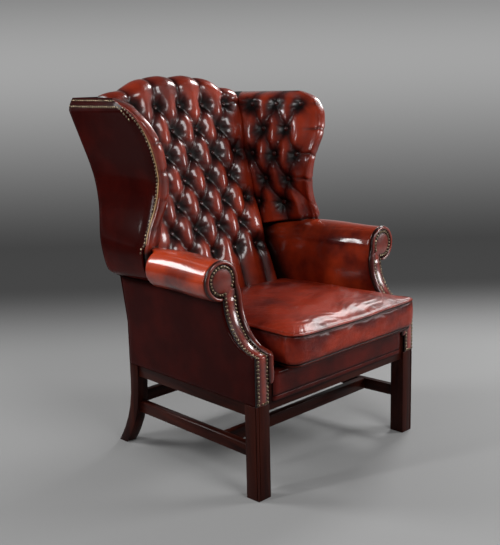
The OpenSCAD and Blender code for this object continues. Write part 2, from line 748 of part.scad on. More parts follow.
// Across: the edge, then columns on the button lattice, then the other edge
function back_x(i, z) = i == 0 ? -back_half(z) : i == 2 * back_side_cols ? back_half(z)
    : (i - back_side_cols) * back_dx;
function back_front(i) = concat(
    [[back_x(i, deck_h), pad_front_y(deck_h) - low_tuft, deck_h]],
    [for (j = [-back_low_rows:3 * (button_rows - 1)]) let (z = tuft_z + j * back_dz, x = back_x(i, z))
        [x, pad_front_y(z) - back_tuft(x, z), z]]
);
function back_ring(i) =
    let (x = back_x(i, wing_top), top = crest_z(x), z3 = top - 1.4 * crest_pad,
         ys = pad_front_y(z3) - low_tuft, low = top - crest_pad + soft_gap,
         top_x = min(back_top_w, max(-back_top_w, x)), low_x = back_x(i, low))
    concat(
        back_front(i),
        [for (k = [1:2]) let (z = mix(top_button_z, z3, k / 2))
            [back_x(i, z), pad_front_y(z) - back_tuft(x, z), z]],
        [[top_x, ys + crest_pad / 3, top - crest_pad / 2], [top_x, ys + crest_pad, top],
         [top_x, back_rear_y(top) - panel_t, top], [low_x, back_rear_y(low) - panel_t, low],
         [low_x, frame_front_y(low) - 2 * web_t, low]],
        [for (z = back_pad_zs) [back_x(i, z), frame_front_y(z) - 2 * web_t, z]]
    );
// Deep-buttoned leather and stuffing of the inside back, turned over the crest
module inside_back() {
    color("#8a1a10") loft([for (i = [0:2 * back_side_cols]) back_ring(i)]);
}
// Leather and board that close the back, following the outline of crest and wings
module outside_back() {
    levels = 12;
    wing_edge = [for (i = [0:levels]) let (z = mix(skin_z, wing_top - wing_cap_t, i / levels))
        [wing_rear_x(z), z]];
    color("#3d0d0b") intersection() {
        slab(-front_half - wing_flare, front_half + wing_flare) polygon(concat(
            [for (z = back_zs(leg_h, overall_h)) [back_rear_y(z) - panel_t, z]],
            [for (z = flip(back_zs(leg_h, overall_h))) [back_rear_y(z), z]]
        ));
        wall(leg_y, overall_depth) polygon(concat(
            [[rear_half, leg_h], [rear_half, skin_z]], wing_edge,
            flip(crest_line(back_top_w, 0)),
            flip([for (p = wing_edge) [-p[0], p[1]]]),
            [[-rear_half, skin_z], [-rear_half, leg_h]]
        ));
    }
}
button_h = button_d / 4;
// Leather-covered button with its twine, standing on z
module button(depth) {
    rotate_extrude() polygon([[0, 0], [button_d / 25, 0], [button_d / 25, depth],
        [button_d / 2, depth + button_h * 0.7], [button_d * 0.46, depth + button_h],
        [button_d / 4, depth + button_h * 1.25], [0, depth + button_h * 1.35]]);
}
module back_buttons() {
    color("#6c1410") for (k = [0:button_rows - 1]) {
        z = tuft_z + k * tuft_h;
        for (x = k % 2 == 0 ? [-2:2] : [-1.5:1.5])
            aim([x * tuft_w, pad_front_y(z), z], [0, -1, back_lean]) button(tuft_d * 0.4);
    }
}

// Wings

wing_d = overall_depth / 2 - wing_front_y - 2 * crest_pad + 2 * wing_roll;
wing_y_shares = [[0, 0.1], [0.02, 0.075], [0.1, 0.083], [0.18, 0.086], [0.26, 0.075], [0.36, 0.056],
    [0.46, 0.036], [0.56, 0.017], [0.66, 0], [0.75, 0.011], [0.84, 0.047], [0.91, 0.117],
    [0.955, 0.192], [1, 0.33]];
wing_x_shares = [[-0.25, -0.08], [-0.23, 0.18], [-0.19, 0.38], [-0.13, 0.51], [-0.06, 0.56],
    [0.02, 0.55], [0.1, 0.41], [0.18, 0.23], [0.26, 0.08], [0.36, 0], [0.46, 0.01], [0.56, 0.15],
    [0.66, 0.36], [0.75, 0.53], [0.84, 0.71], [0.91, 0.83], [0.955, 0.94], [1, 1]];
function wing_t(z) = (z - arm_h) / (wing_top - arm_h);
function wing_edge_y(z) = wing_front_y + wing_d * along(wing_y_shares, wing_t(z));
function wing_edge_x(z) = wing_waist + wing_flare * along(wing_x_shares, wing_t(z));
function wing_rear_x(z) =
    mix(wing_edge_x(z), wing_rear_w, 0.5 * smooth((z - skin_z) / (2 * panel_t + arm_wood_t)));
wing_cap_z = wing_top - wing_cap_t;
function wing_skin_y(z) = back_rear_y(z) - panel_t - soft_gap / 2;
wing_form_rows = 21;
// Heights shared by the wing's stick, stuffing and outside, so that their faces meet
function wing_row(i) = mix(wing_base_z, wing_cap_z, i / wing_form_rows);
skirt_levels = 5;
// Thin leather-covered outside of the wing; its lower edge curls in over the outside arm
module outside_wing() {
    skirt_z = skin_z + soft_gap;
    zs = concat([for (i = [0:skirt_levels - 1]) mix(skirt_z, wing_base_z, i / skirt_levels)],
        [for (i = [0:wing_form_rows]) wing_row(i)]);
    loft([for (z = zs) let (xf = wing_edge_x(z), xr = wing_rear_x(z), yf = wing_edge_y(z),
            yr = wing_skin_y(z))
        [[xf, yf, z], [xf - panel_t, yf, z], [xr - panel_t, yr, z], [xr, yr, z]]], 0);
}
stick_d = 1.25 * wing_stick;
// The stick's foot is screwed to the outer side of the arm rail
stick_foot_x = front_half - leather_rebate - sin(side_angle) * (wing_setback + stick_d) + wing_stick;
bar_row = wing_form_rows - 2;
bar_top = wing_row(bar_row);
function stick_x(z) =
    let (xf = wing_edge_x(z), xr = wing_rear_x(z), yf = wing_edge_y(z),
         skin = min(xf, mix(xf, xr, stick_d / (wing_skin_y(z) - yf))) - panel_t - soft_gap)
    mix(stick_foot_x, skin, smooth((z - roll_z) / (wing_base_z - skin_z)));
function stick_ring(z) =
    let (x = stick_x(z), y = wing_edge_y(z))
    [[x, y, z], [x - wing_stick, y, z], [x - wing_stick, y + stick_d, z], [x, y + stick_d, z]];
// Shaped stick from the arm rail, and the bar that ties its top to the rear post
module wing_frame() {
    z_bar = bar_top - arm_wood_t;
    xf = wing_edge_x(z_bar) - 2 * panel_t;
    xr = wing_rear_x(z_bar) - 2 * panel_t;
    xf_in = stick_x(bar_top) - wing_stick;
    xr_in = wing_rear_x(bar_top) - 2 * panel_t - wing_stick + soft_gap;
    loft(concat([stick_ring(roll_z - arm_wood_t)], [for (i = [0:bar_row]) stick_ring(wing_row(i))]), 0);
    y0 = wing_edge_y(bar_top) + panel_t;
    y1 = frame_rear_y(z_bar);
    y2 = frame_front_y(bar_top);
    translate([0, 0, z_bar]) linear_extrude(arm_wood_t) polygon([[xf, y0], [xr, y1],
        [post_half, y1], [post_half, y2], [xr_in, y2], [xf_in, y0]]);
}
wing_thick = wing_stick + panel_t + wing_roll;
function wing_in_x(z) = min(wing_edge_x(z) - wing_thick, stick_x(z) - wing_stick - 0.8 * wing_roll);
wing_button_set = 3.7 * wing_roll;
wing_row_z = arm_h + 0.7 * wing_tuft_h;
wing_rows = 5;
wing_lean = 0.17;
function wing_lattice_y(z) = wing_front_y + wing_button_set + wing_lean * (z - wing_row_z - 2 * wing_tuft_h);
function wing_tuft(y, z) =
    let (u = (y - wing_lattice_y(z)) / wing_tuft_w, w = (z - wing_row_z) / wing_tuft_h,
         ends = smooth((z - wing_row_z + wing_tuft_h / 2) / (wing_tuft_h / 2))
            * (1 - smooth((z - wing_row_z - 4 * wing_tuft_h) / (wing_tuft_h / 2))))
    wing_tuft_d * mix(0.5, tuft(u + w / 2, u - w / 2), ends);
function wing_base_x(y, z) =
    let (y0 = wing_edge_y(z), y1 = pad_front_y(z))
    mix(wing_in_x(z), back_half(z) + back_joint, clamp01((y - y0) / (y1 - y0)));
wing_cols = 17;
function wing_inner(p, z) =
    let (y = mix(wing_edge_y(z), pad_front_y(z), p), edge = smooth(p * 6) * smooth((1 - p) * 8))
    [wing_base_x(y, z) - edge * wing_tuft(y, z), y, z];
function wing_ring(z, cap) =
    let (xf = wing_edge_x(z), yf = wing_edge_y(z), xr = wing_rear_x(z), w = xf - wing_in_x(z),
         yb = cap ? back_rear_y(z) - panel_t : frame_front_y(z) - web_t - soft_gap,
         xm = cap ? xf : stick_x(z) - wing_stick - soft_gap,
         xb = cap ? xr : min(xm, xr - 2 * panel_t - wing_stick))
    concat(
        [[xf, yf, z], [xf - w / 16, yf - 0.6 * wing_roll, z], [xf - w / 3, yf - wing_roll, z],
         [xf - 0.8 * w, yf - 0.8 * wing_roll, z]],
        [for (i = [0:wing_cols]) wing_inner(i / wing_cols, z)],
        [[back_half(z) + back_joint, yb, z], [xb, yb, z], [xm, yf + (cap ? soft_gap : 0), z]]
    );
wing_ring_reflex = wing_cols + 7 - 1 + 1;
// Buttoned leather and stuffing of the inside wing, rolled over its front and top edges
module inside_wing() {
    loft(concat(
        [for (i = [0:wing_form_rows]) wing_ring(wing_row(i), false)],
        [wing_ring(wing_cap_z + panel_t / 4, true), wing_ring(wing_top, true)]
    ), wing_ring_reflex);
}
// Face of the inside wing between the points of its lattice
function wing_face_x(y, z) =
    let (r = (z - wing_base_z) / (wing_cap_z - wing_base_z) * wing_form_rows, i = floor(r),
         c = (y - wing_edge_y(z)) / (pad_front_y(z) - wing_edge_y(z)) * wing_cols, j = floor(c))
    mix(mix(wing_inner(j / wing_cols, wing_row(i))[0], wing_inner((j + 1) / wing_cols, wing_row(i))[0], c - j),
        mix(wing_inner(j / wing_cols, wing_row(i + 1))[0],
            wing_inner((j + 1) / wing_cols, wing_row(i + 1))[0], c - j), r - i);
function wing_button_xs(k) = k == 0 ? [1, 1.97] : k % 2 == 0 ? [0, 1, 2] : [0.5, 1.5];
module wing_buttons() {
    color("#6c1410") for (s = [-1, 1]) side(s) for (k = [0:wing_rows - 1]) {
        z = wing_row_z + k * wing_tuft_h;
        for (m = wing_button_xs(k)) {
            y = wing_lattice_y(z) + m * wing_tuft_w;
            aim([wing_face_x(y, z) - nail_lift, y, z], [-1, -0.3, 0]) button(wing_tuft_d * 0.33);
        }
    }
}
edge_steps = 20;
wing_nail_line = concat(
    [for (i = [0:edge_steps]) let (z = mix(arm_h + nail_pitch, wing_cap_z - nail_edge, i / edge_steps))
        [wing_edge_x(z), wing_edge_y(z) + nail_edge, z]],
    [let (z = wing_cap_z - nail_edge) [wing_rear_x(z), wing_skin_y(z) - nail_edge, z]]
);
// Nails along the front and top edges of the outside wing
module wing_nails() {
    for (k = [0:floor(total(wing_nail_line) / nail_pitch)]) {
        p = walk(wing_nail_line, k * nail_pitch);
        a = wing_edge_x(p[2] - nail_d / 2);
        b = wing_edge_x(p[2] + nail_d / 2);
        turn = (wing_edge_x(p[2]) - wing_rear_x(p[2])) / (wing_skin_y(p[2]) - wing_edge_y(p[2]));
        along_top = smooth((p[2] - wing_cap_z + 2 * nail_edge) / nail_edge)
            * sin(180 * clamp01((p[1] - wing_edge_y(p[2])) / (wing_skin_y(p[2]) - wing_edge_y(p[2]))));
        aim(p + [(2 + 2.4 * along_top) * nail_lift, 0, 0], [1, turn, (a - b) / nail_d]) nail();
    }
}

wood = "#3a140e";
beech = "#b8935f";
hide = "#8a1a10";
dark_hide = "#3d0d0b";
brass = "#9a7a45";

color(wood) side(-1) front_leg();  // front_leg_left
color(wood) side(1) front_leg();  // front_leg_right
color(wood) side(-1) rear_post();  // rear_post_left
color(wood) side(1) rear_post();  // rear_post_right
front_seat_rail();
color(wood) side(-1) side_seat_rail();  // side_seat_rail_left
color(wood) side(1) side_seat_rail();  // side_seat_rail_right
rear_seat_rail();
corner_blocks();
color(wood) side(-1) side_stretcher();  // side_stretcher_left
color(wood) side(1) side_stretcher();  // side_stretcher_right
cross_stretcher();
rear_stretcher();
seat_springs();
spring_clips();
deck_pad();
dust_cover();
front_border();
cushion_cover();
cushion_core();
zip_tape();
zip_slider();
color(beech) side(-1) arm_stump();  // arm_stump_left
color(beech) side(1) arm_stump();  // arm_stump_right
color(beech) side(-1) arm_rail();  // arm_rail_left
color(beech) side(1) arm_rail();  // arm_rail_right
color(hide) side(-1) arm_pad();  // arm_pad_left
color(hide) side(1) arm_pad();  // arm_pad_right
color(hide) side(-1) arm_facing();  // arm_facing_left
color(hide) side(1) arm_facing();  // arm_facing_right
color(hide) side(-1) arm_border();  // arm_border_left
color(hide) side(1) arm_border();  // arm_border_right
color(dark_hide) side(-1) outside_arm();  // outside_arm_left
color(dark_hide) side(1) outside_arm();  // outside_arm_right
color(brass) side(-1) arm_nails();  // arm_nails_left
color(brass) side(1) arm_nails();  // arm_nails_right
crest_rail();
lower_back_rail();
back_webbing();
inside_back();
outside_back();
back_buttons();
color(beech) side(-1) wing_frame();  // wing_frame_left
color(beech) side(1) wing_frame();  // wing_frame_right
color(hide) side(-1) inside_wing();  // inside_wing_left
color(hide) side(1) inside_wing();  // inside_wing_right
color(dark_hide) side(-1) outside_wing();  // outside_wing_left
color(dark_hide) side(1) outside_wing();  // outside_wing_right
color(brass) side(-1) wing_nails();  // wing_nails_left
color(brass) side(1) wing_nails();  // wing_nails_right
wing_buttons();
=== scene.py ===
import bpy
import math
import numpy as np
from mathutils import Matrix, Vector


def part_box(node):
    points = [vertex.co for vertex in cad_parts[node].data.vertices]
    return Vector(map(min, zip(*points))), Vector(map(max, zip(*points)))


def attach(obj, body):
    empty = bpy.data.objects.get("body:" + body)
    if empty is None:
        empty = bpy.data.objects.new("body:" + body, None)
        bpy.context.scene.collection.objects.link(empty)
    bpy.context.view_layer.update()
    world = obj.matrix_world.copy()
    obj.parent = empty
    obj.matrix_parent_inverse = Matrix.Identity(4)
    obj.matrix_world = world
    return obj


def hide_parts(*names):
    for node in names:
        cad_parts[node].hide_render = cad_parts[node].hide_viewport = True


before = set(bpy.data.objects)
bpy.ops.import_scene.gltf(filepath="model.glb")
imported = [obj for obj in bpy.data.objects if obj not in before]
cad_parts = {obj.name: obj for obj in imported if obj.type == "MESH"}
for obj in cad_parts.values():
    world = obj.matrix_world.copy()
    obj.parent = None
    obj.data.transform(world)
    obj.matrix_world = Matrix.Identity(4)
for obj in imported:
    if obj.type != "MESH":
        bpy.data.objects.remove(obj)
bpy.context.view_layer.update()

# The view: the chair stands turned a little under half a right angle, with its front to the right,
# and is seen from just above the height of the arms through a short telephoto lens.
turn, rise, tilt = math.radians(45.34), math.radians(11.95), math.radians(-1.36)
back = Vector((-math.sin(turn) * math.cos(rise), -math.cos(turn) * math.cos(rise), math.sin(rise)))
right = (-back).cross(Vector((0, 0, 1))).normalized()
up = right.cross(-back)
across = right * math.cos(tilt) + up * math.sin(tilt)
upward = up * math.cos(tilt) - right * math.sin(tilt)
bpy.ops.object.camera_add(location=(0, 0, 0))
camera = bpy.context.object
camera.name = "camera"
camera.matrix_world = Matrix.Translation(Vector((-1.994, -1.954, 1.120))) @ Matrix(
    (across, upward, back)).transposed().to_4x4()
camera.data.lens = 60.81
bpy.context.scene.camera = camera

# The studio: a plain pale grey floor that fades into a painted glow towards a backdrop painted as
# glowing light, brightest at the height of the chair's top, in a dim room, with broad soft lamps in
# front and at the right and narrow ones behind.
def feed(target, sockets):
    """Give a node's inputs their values, or join them to the outputs that they follow."""
    for name, source in sockets.items():
        if isinstance(source, bpy.types.NodeSocket):
            target.id_data.links.new(source, target.inputs[name])
        else:
            target.inputs[name].default_value = source


def new_node(tree, kind, sockets=None, give=None, **settings):
    """A shader node with its settings and inputs, or the one output of it that is wanted."""
    made = tree.nodes.new("ShaderNode" + kind)
    for name, value in settings.items():
        setattr(made, name, value)
    feed(made, sockets or {})
    return made.outputs[give] if give else made


def new_finish(name):
    made = bpy.data.materials.new(name)
    made.use_nodes = True
    return made, made.node_tree, made.node_tree.nodes["Principled BSDF"]


def object_place(tree, stretch=None):
    """Places in the piece's own metres, stretched along its grain or weave if wanted."""
    place = new_node(tree, "TexCoord", give="Object")
    return new_node(tree, "Mapping", {"Vector": place, "Scale": stretch}, "Vector") if stretch else place


def remap(value, span=(0, 1), to=(0, 1), **settings):
    return new_node(value.id_data, "MapRange", {
        "Value": value, "From Min": span[0], "From Max": span[1], "To Min": to[0], "To Max": to[1]},
        "Result", **settings)


def mixed(share, a, b):
    return new_node(share.id_data, "Mix", {"Factor": share, "A": a, "B": b}, "Result", data_type="RGBA")


def maths(operation, *terms, clamp=False):
    return new_node(terms[0].id_data, "Math", dict(enumerate(terms)), "Value", operation=operation,
                    use_clamp=clamp)


def ramp(value, *stops, interpolation="LINEAR"):
    """Colours along a value, from their places and tones."""
    made = new_node(value.id_data, "ValToRGB", {"Fac": value})
    made.color_ramp.interpolation = interpolation
    elements = made.color_ramp.elements
    while len(elements) < len(stops):
        elements.new(0.5)
    for element, (position, tone) in zip(elements, stops):
        element.position, element.color = position, (*tone, 1)
    return made.outputs["Color"]


def grey(level):
    return (level, level, level)


def stage_plane(name, size, place, paint):
    bpy.ops.mesh.primitive_plane_add(size=size, location=place)
    made = bpy.context.object
    made.name = name
    made.data.materials.append(paint)
    return made


away, backdrop_far, backdrop_high = (0.711, 0.703, 0), 3.5, 3.5
floor_paint, tree, surface = new_finish("pale_floor")
# Farther from the chair the floor's lit grey gives way to a painted glow.
distance = new_node(tree, "VectorMath", {0: object_place(tree), 1: away}, "Value", operation="DOT_PRODUCT")
painted_glow_share = remap(distance, (0.85, 2.25), interpolation_type="SMOOTHSTEP")
black = (*grey(0), 1)
feed(surface, {"Base Color": mixed(painted_glow_share, (*grey(0.365), 1), black), "Roughness": 0.9,
               "Emission Color": mixed(painted_glow_share, black, (*grey(0.054), 1)), "Emission Strength": 1,
               "Specular IOR Level": 0.1})
stage_plane("floor", 60, (0, 0, 0), floor_paint)
backdrop_paint, tree, surface = new_finish("backdrop_painted_glow")
# The backdrop has no lamp: its brightness is a painted glow, strongest near the height of the chair's top.
height = new_node(tree, "SeparateXYZ", {"Vector": object_place(tree)}, "Y")
painted_backdrop_glow = ramp(maths("ADD", height, 0.5), *((level, grey(tone)) for level, tone in (
    (0.0, 0.040), (0.12, 0.14), (0.24, 0.28), (0.36, 0.42), (0.48, 0.24), (0.8, 0.06))),
    interpolation="B_SPLINE")
feed(surface, {"Base Color": black, "Specular IOR Level": 0, "Emission Color": painted_backdrop_glow, "Emission Strength": 1})
backdrop = stage_plane("backdrop", 1, (backdrop_far * away[0], backdrop_far * away[1], backdrop_high / 2),
                       backdrop_paint)
backdrop.scale = (44, backdrop_high, 1)
backdrop.rotation_euler = (math.pi / 2, 0, math.atan2(-away[0], away[1]))
world = bpy.data.worlds.new("studio")
bpy.context.scene.world = world
world.use_nodes = True
feed(world.node_tree.nodes["Background"], {"Color": (0.92, 0.94, 0.96, 1), "Strength": 0.055})
bpy.context.scene.view_settings.view_transform = "Standard"
for lamp_name, place, aim_at, width, height, power in (
        ("lamp_left", (-2.7, 0.5, 1.5), (0, 0.0, 0.7), 0.17, 1.7, 24),
        ("lamp_front", (-0.6, -2.9, 3.0), (0, 0, 0.6), 1.3, 1.3, 52),
        ("lamp_right", (2.05, -2.0, 1.25), (0, 0, 0.7), 1.05, 0.85, 42),
        ("lamp_right_high", (2.4, 0.35, 2.5), (0, -0.1, 0.5), 0.8, 0.8, 42),
        ("lamp_behind", (-1.9, 2.3, 2.25), (-0.3, 0, 0.9), 1.0, 1.0, 50)):
    bpy.ops.object.light_add(type="AREA", location=place)
    lamp = bpy.context.object
    lamp.name = lamp_name
    lamp.data.shape = "RECTANGLE"
    lamp.data.size, lamp.data.size_y = width, height
    lamp.data.energy = power
    lamp.rotation_mode = "QUATERNION"
    lamp.rotation_quaternion = (Vector(aim_at) - Vector(place)).to_track_quat("-Z", "Y")

# The show wood: mahogany stained a dark red-brown and wiped thinner along its edges, waxed.
# Legs and rails are sawn square; the front legs carry a bead between two scratched grooves.
def shared_group(name, inputs, outputs):
    """A node group for several finishes: the group, what it is given and what it hands on."""
    group = bpy.data.node_groups.new(name, "ShaderNodeTree")
    for sockets, side in ((inputs, "INPUT"), (outputs, "OUTPUT")):
        for socket_name, kind in sockets.items():
            group.interface.new_socket(socket_name, in_out=side, socket_type="NodeSocket" + kind)
    return group, group.nodes.new("NodeGroupInput").outputs, group.nodes.new("NodeGroupOutput")


def noise(place, scale, detail, give="Fac", **sockets):
    return new_node(place.id_data, "TexNoise", {"Vector": place, "Scale": scale, "Detail": detail, **sockets},
                    give)


def bumped(height, strength, depth):
    return new_node(height.id_data, "Bump", {"Height": height, "Strength": strength, "Distance": depth},
                    "Normal")


wood_figure, given, handed_on = shared_group(
    "wood_figure", {"Vector": "Vector", "Light": "Color", "Dark": "Color"},
    {"Color": "Color", "Roughness": "Float", "Height": "Float"})
pores = noise(given["Vector"], 190, 3)
streaks = remap(noise(given["Vector"], 38, 8, Distortion=0.6), (0.32, 0.68))
feed(handed_on, {"Color": mixed(streaks, given["Dark"], given["Light"]),
                 "Roughness": remap(pores, to=(0.28, 0.46)), "Height": pores})


def wood_finish(name, light, dark, stretch, coat):
    """A polished or bare wood whose grain runs along the axis that stretch makes long."""
    finish, tree, surface = new_finish(name)
    figure = new_node(tree, "Group", {"Vector": object_place(tree, stretch), "Light": (*light, 1),
                                      "Dark": (*dark, 1)}, node_tree=wood_figure).outputs
    feed(surface, {"Base Color": figure["Color"], "Roughness": figure["Roughness"],
                   "Normal": bumped(figure["Height"], 0.12, 0.0006), "Specular IOR Level": 0.06,
                   "Coat Weight": coat, "Coat Roughness": 0.20})
    return finish


mahogany, beech, waxed, grain_run = (
    ((0.046, 0.0078, 0.0038), (0.012, 0.0024, 0.0018)), ((0.55, 0.36, 0.19), (0.40, 0.24, 0.12)), 0.09, 0.09)
mahogany_upright = wood_finish("mahogany_upright", *mahogany, (1, 1, grain_run), waxed)
mahogany_across = wood_finish("mahogany_across", *mahogany, (grain_run, 1, 1), waxed)
mahogany_deep_run = wood_finish("mahogany_deep_run", *mahogany, (1, grain_run, 1), waxed)
beech_upright = wood_finish("beech_upright", *beech, (1, 1, grain_run), 0.0)
beech_across = wood_finish("beech_across", *beech, (grain_run, 1, 1), 0.0)


def new_piece(name, mesh, finish):
    """An object for a mesh, in one finish, and the only one selected."""
    made = bpy.data.objects.new(name, mesh)
    bpy.context.scene.collection.objects.link(made)
    mesh.materials.clear()
    mesh.materials.append(finish)
    bpy.ops.object.select_all(action="DESELECT")
    made.select_set(True)
    bpy.context.view_layer.objects.active = made
    return made


def edit_all(*steps):
    """Run mesh steps, each with its settings, on all of the active piece."""
    bpy.ops.object.mode_set(mode="EDIT")
    for step, settings in steps:
        bpy.ops.mesh.select_all(action="SELECT")
        step(**settings)
    bpy.ops.object.mode_set(mode="OBJECT")


def modify(made, kind, **settings):
    modifier = made.modifiers.new(kind, kind)
    for name, value in settings.items():
        setattr(modifier, name, value)
    bpy.ops.object.modifier_apply(modifier=modifier.name)


def eased(node, finish, width):
    """A copy of a sawn piece with its arrises taken off, shown in its place."""
    made = new_piece("eased_" + node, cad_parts[node].data.copy(), finish)
    edit_all((bpy.ops.mesh.remove_doubles, {"threshold": 0.00002}),
             (bpy.ops.mesh.tris_convert_to_quads, {"face_threshold": 0.02, "shape_threshold": 3.1}),
             (bpy.ops.mesh.dissolve_limited, {"angle_limit": 0.03}))
    modify(made, "BEVEL", width=width, segments=2, limit_method="ANGLE", angle_limit=math.radians(35),
           harden_normals=False)
    bpy.ops.object.shade_smooth_by_angle(angle=math.radians(30))
    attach(made, "chair")
    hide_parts(node)


for finish, slot_name, width, nodes in (
        (mahogany_upright, "mahogany", 0.0011,
         "front_leg_left front_leg_right rear_post_left rear_post_right"),
        (mahogany_deep_run, "mahogany", 0.0013,
         "side_seat_rail_left side_seat_rail_right side_stretcher_left side_stretcher_right"),
        (mahogany_across, "mahogany", 0.0013,
         "front_seat_rail rear_seat_rail cross_stretcher rear_stretcher"),
        (beech_upright, "beech", 0.0012,
         "arm_stump_left arm_stump_right wing_frame_left wing_frame_right arm_rail_left arm_rail_right"),
        (beech_across, "beech", 0.0012, "crest_rail lower_back_rail corner_blocks")):
    for node in nodes.split():
        eased(node, finish, width)

# The hide: full-grain cattle hide dyed by hand in oxblood over a bright tan-red, rubbed back on the
# crowns and waxed, with shade painted nearly black into its folds. One grain and one dye serve every cover.
hide_grain, given, handed_on = shared_group("hide_grain", {"Vector": "Vector", "Creasing": "Float"},
                                            {"Height": "Float", "Speck": "Float"})


def cell_edges(place, scale):
    return new_node(place.id_data, "TexVoronoi", {"Vector": place, "Scale": scale}, "Distance",
                    feature="DISTANCE_TO_EDGE")


pebble = remap(cell_edges(given["Vector"], 620), (0, 0.25), (0, 0.35))
crease_noise = noise(given["Vector"], 46, 7, None, Distortion=1.2).outputs
crease_warp = new_node(hide_grain, "MixRGB", {"Fac": 0.04, "Color1": given["Vector"],
                                              "Color2": crease_noise["Color"]}, "Color", blend_type="ADD")
crease = maths("MULTIPLY", remap(cell_edges(crease_warp, 42), (0, 0.09), (-1, 0)), given["Creasing"])
feed(handed_on, {"Height": maths("MULTIPLY_ADD", crease_noise["Fac"], 1.6, maths("ADD", pebble, crease)),
                 "Speck": crease_noise["Fac"]})

dye_and_painted_shade, given, handed_on = shared_group(
    "dye_and_painted_shade", {"Vector": "Vector", "Painted Shade": "Float", "Rubbed": "Float", "Speck": "Float",
                 "Crown": "Color", "Body": "Color", "Painted Shade Tone": "Color", "Mottle": "Float"},
    {"Color": "Color", "Roughness": "Float"})
cloud = remap(noise(given["Vector"], 9, 5, Roughness=0.55), (0.33, 0.67), (-1, 1))
rub = maths("MULTIPLY_ADD", cloud, given["Mottle"], given["Rubbed"], clamp=True)
# Painted shade: folds and wells are mixed towards a near-black tone, flecked by the grain's speck.
painted_shade_share = maths("MULTIPLY_ADD", maths("MULTIPLY", given["Speck"], given["Painted Shade"]), 0.35, given["Painted Shade"],
               clamp=True)
feed(handed_on, {"Color": mixed(painted_shade_share, mixed(rub, given["Body"], given["Crown"]), given["Painted Shade Tone"]),
                 "Roughness": remap(given["Speck"], (0.3, 0.7), (0.30, 0.44))})


def hide_finish(name, crown, body, mottle, rubbed, creasing, bump_depth, coat, polish=0.11, sheen=0.15):
    """Dyed leather. It reads its painted shade and rubbed places from the cover's own attributes."""
    finish, tree, surface = new_finish(name)
    place = object_place(tree)
    painted_shade, worn = (new_node(tree, "Attribute", give="Fac", attribute_name=mark) for mark in (
        "painted_shade", "worn"))
    grain = new_node(tree, "Group", {"Vector": place, "Creasing": creasing}, node_tree=hide_grain).outputs
    dye = new_node(tree, "Group", {
        "Vector": place, "Painted Shade": painted_shade, "Rubbed": maths("ADD", worn, rubbed), "Speck": grain["Speck"],
        "Crown": (*crown, 1), "Body": (*body, 1), "Painted Shade Tone": (*painted_shade_black, 1), "Mottle": mottle},
        node_tree=dye_and_painted_shade).outputs
    feed(surface, {"Base Color": dye["Color"], "Roughness": dye["Roughness"],
                   "Normal": bumped(grain["Height"], 0.35, bump_depth), "Specular IOR Level": sheen,
                   "Coat Weight": remap(painted_shade, to=(coat, 0)), "Coat Roughness": polish})
    return finish


# The third tone is the near-black of the shade painted into folds, wells and seams.
tan_red, oxblood, painted_shade_black = (0.36, 0.030, 0.006), (0.080, 0.0048, 0.0026), (0.0036, 0.0012, 0.0011)
tufted_hide = hide_finish("tufted_hide", tan_red, oxblood, 0.45, -0.08, 0.25, 0.0008, 1.0, 0.14, 0.28)
roll_hide = hide_finish("roll_hide", (0.52, 0.048, 0.008), oxblood, 0.45, 0.34, 0.15, 0.0006, 0.9)
seat_hide = hide_finish("seat_hide", (0.40, 0.034, 0.010), (0.110, 0.0075, 0.0045), 0.55, 0.18, 1.0,
                        0.0024, 0.36, polish=0.21, sheen=0.08)
outer_hide = hide_finish("outer_hide", (0.070, 0.0046, 0.0026), (0.024, 0.0017, 0.0012), 0.25, 0.1, 0.1,
                         0.0005, 0.16, polish=0.12, sheen=0.01)


def flow(rows, at):
    """Value of a table at each place, along a smoothed line through its rows."""
    places, values = np.array(rows, float).T
    fine = np.linspace(places[0], places[-1], 241)
    line = np.interp(fine, places, values)
    kernel = np.hanning(23)
    kernel /= kernel.sum()
    left, right_end = 2 * line[0] - line[11:0:-1], 2 * line[-1] - line[-2:-13:-1]
    return np.interp(at, fine, np.convolve(np.concatenate([left, line, right_end]), kernel, "valid"))


def ease_in(t):
    t = np.clip(t, 0, 1)
    return t * t * (3 - 2 * t)


def rounded(t):
    """A quarter round, from 0 at an edge to 1 where the piece is full."""
    return np.sqrt(np.clip(1 - (1 - np.clip(t, 0, 1)) ** 2, 0, 1))


def hump(distance, width):
    return np.exp(-(distance / width) ** 2)


def unit(way):
    """Directions at length one, for a single one or for rows of them."""
    return way / np.linalg.norm(way, axis=-1, keepdims=True)


def patch_faces(rows, cols, wrap=False, start=0):
    """Quads between the points of a grid that is stored row by row."""
    made = []
    for r in range(rows - 1):
        for c in range(cols if wrap else cols - 1):
            a, b = start + r * cols + c, start + r * cols + (c + 1) % cols
            made.append((a, b, b + cols, a + cols))
    return made


def cover(name, nodes, points, faces, painted_shade, worn, finish, slot_name, fill=None, body="chair", levels=0,
          mirror=False):
    """A leather-covered piece from its points, with its painted shade and the rubbing its dye follows."""
    points = np.array(points, float).reshape(-1, 3) * (-1 if mirror else 1, 1, 1)
    mesh = bpy.data.meshes.new(name)
    mesh.from_pydata(points.tolist(), [], faces)
    for attribute, values in (("painted_shade", painted_shade), ("worn", worn)):
        marks = np.broadcast_to(np.asarray(values, float).ravel(), (len(points),)).astype(np.float32)
        mesh.attributes.new(attribute, "FLOAT", "POINT").data.foreach_set("value", marks)
    made = new_piece(name, mesh, finish)
    edit_all((bpy.ops.mesh.remove_doubles, {"threshold": 0.00003}),
             (bpy.ops.mesh.normals_make_consistent, {"inside": False}))
    if levels:
        modify(made, "SUBSURF", levels=levels, render_levels=levels)
    bpy.ops.object.shade_smooth()
    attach(made, body)
    if nodes:
        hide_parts(*nodes)
    return made


def both_sides(make, stem, node_stem, *parts, **more):
    """The right one of a pair of pieces, and its mirror image."""
    for side_name, flipped in (("right", False), ("left", True)):
        make(stem + side_name, [node_stem + side_name], *parts, mirror=flipped, **more)


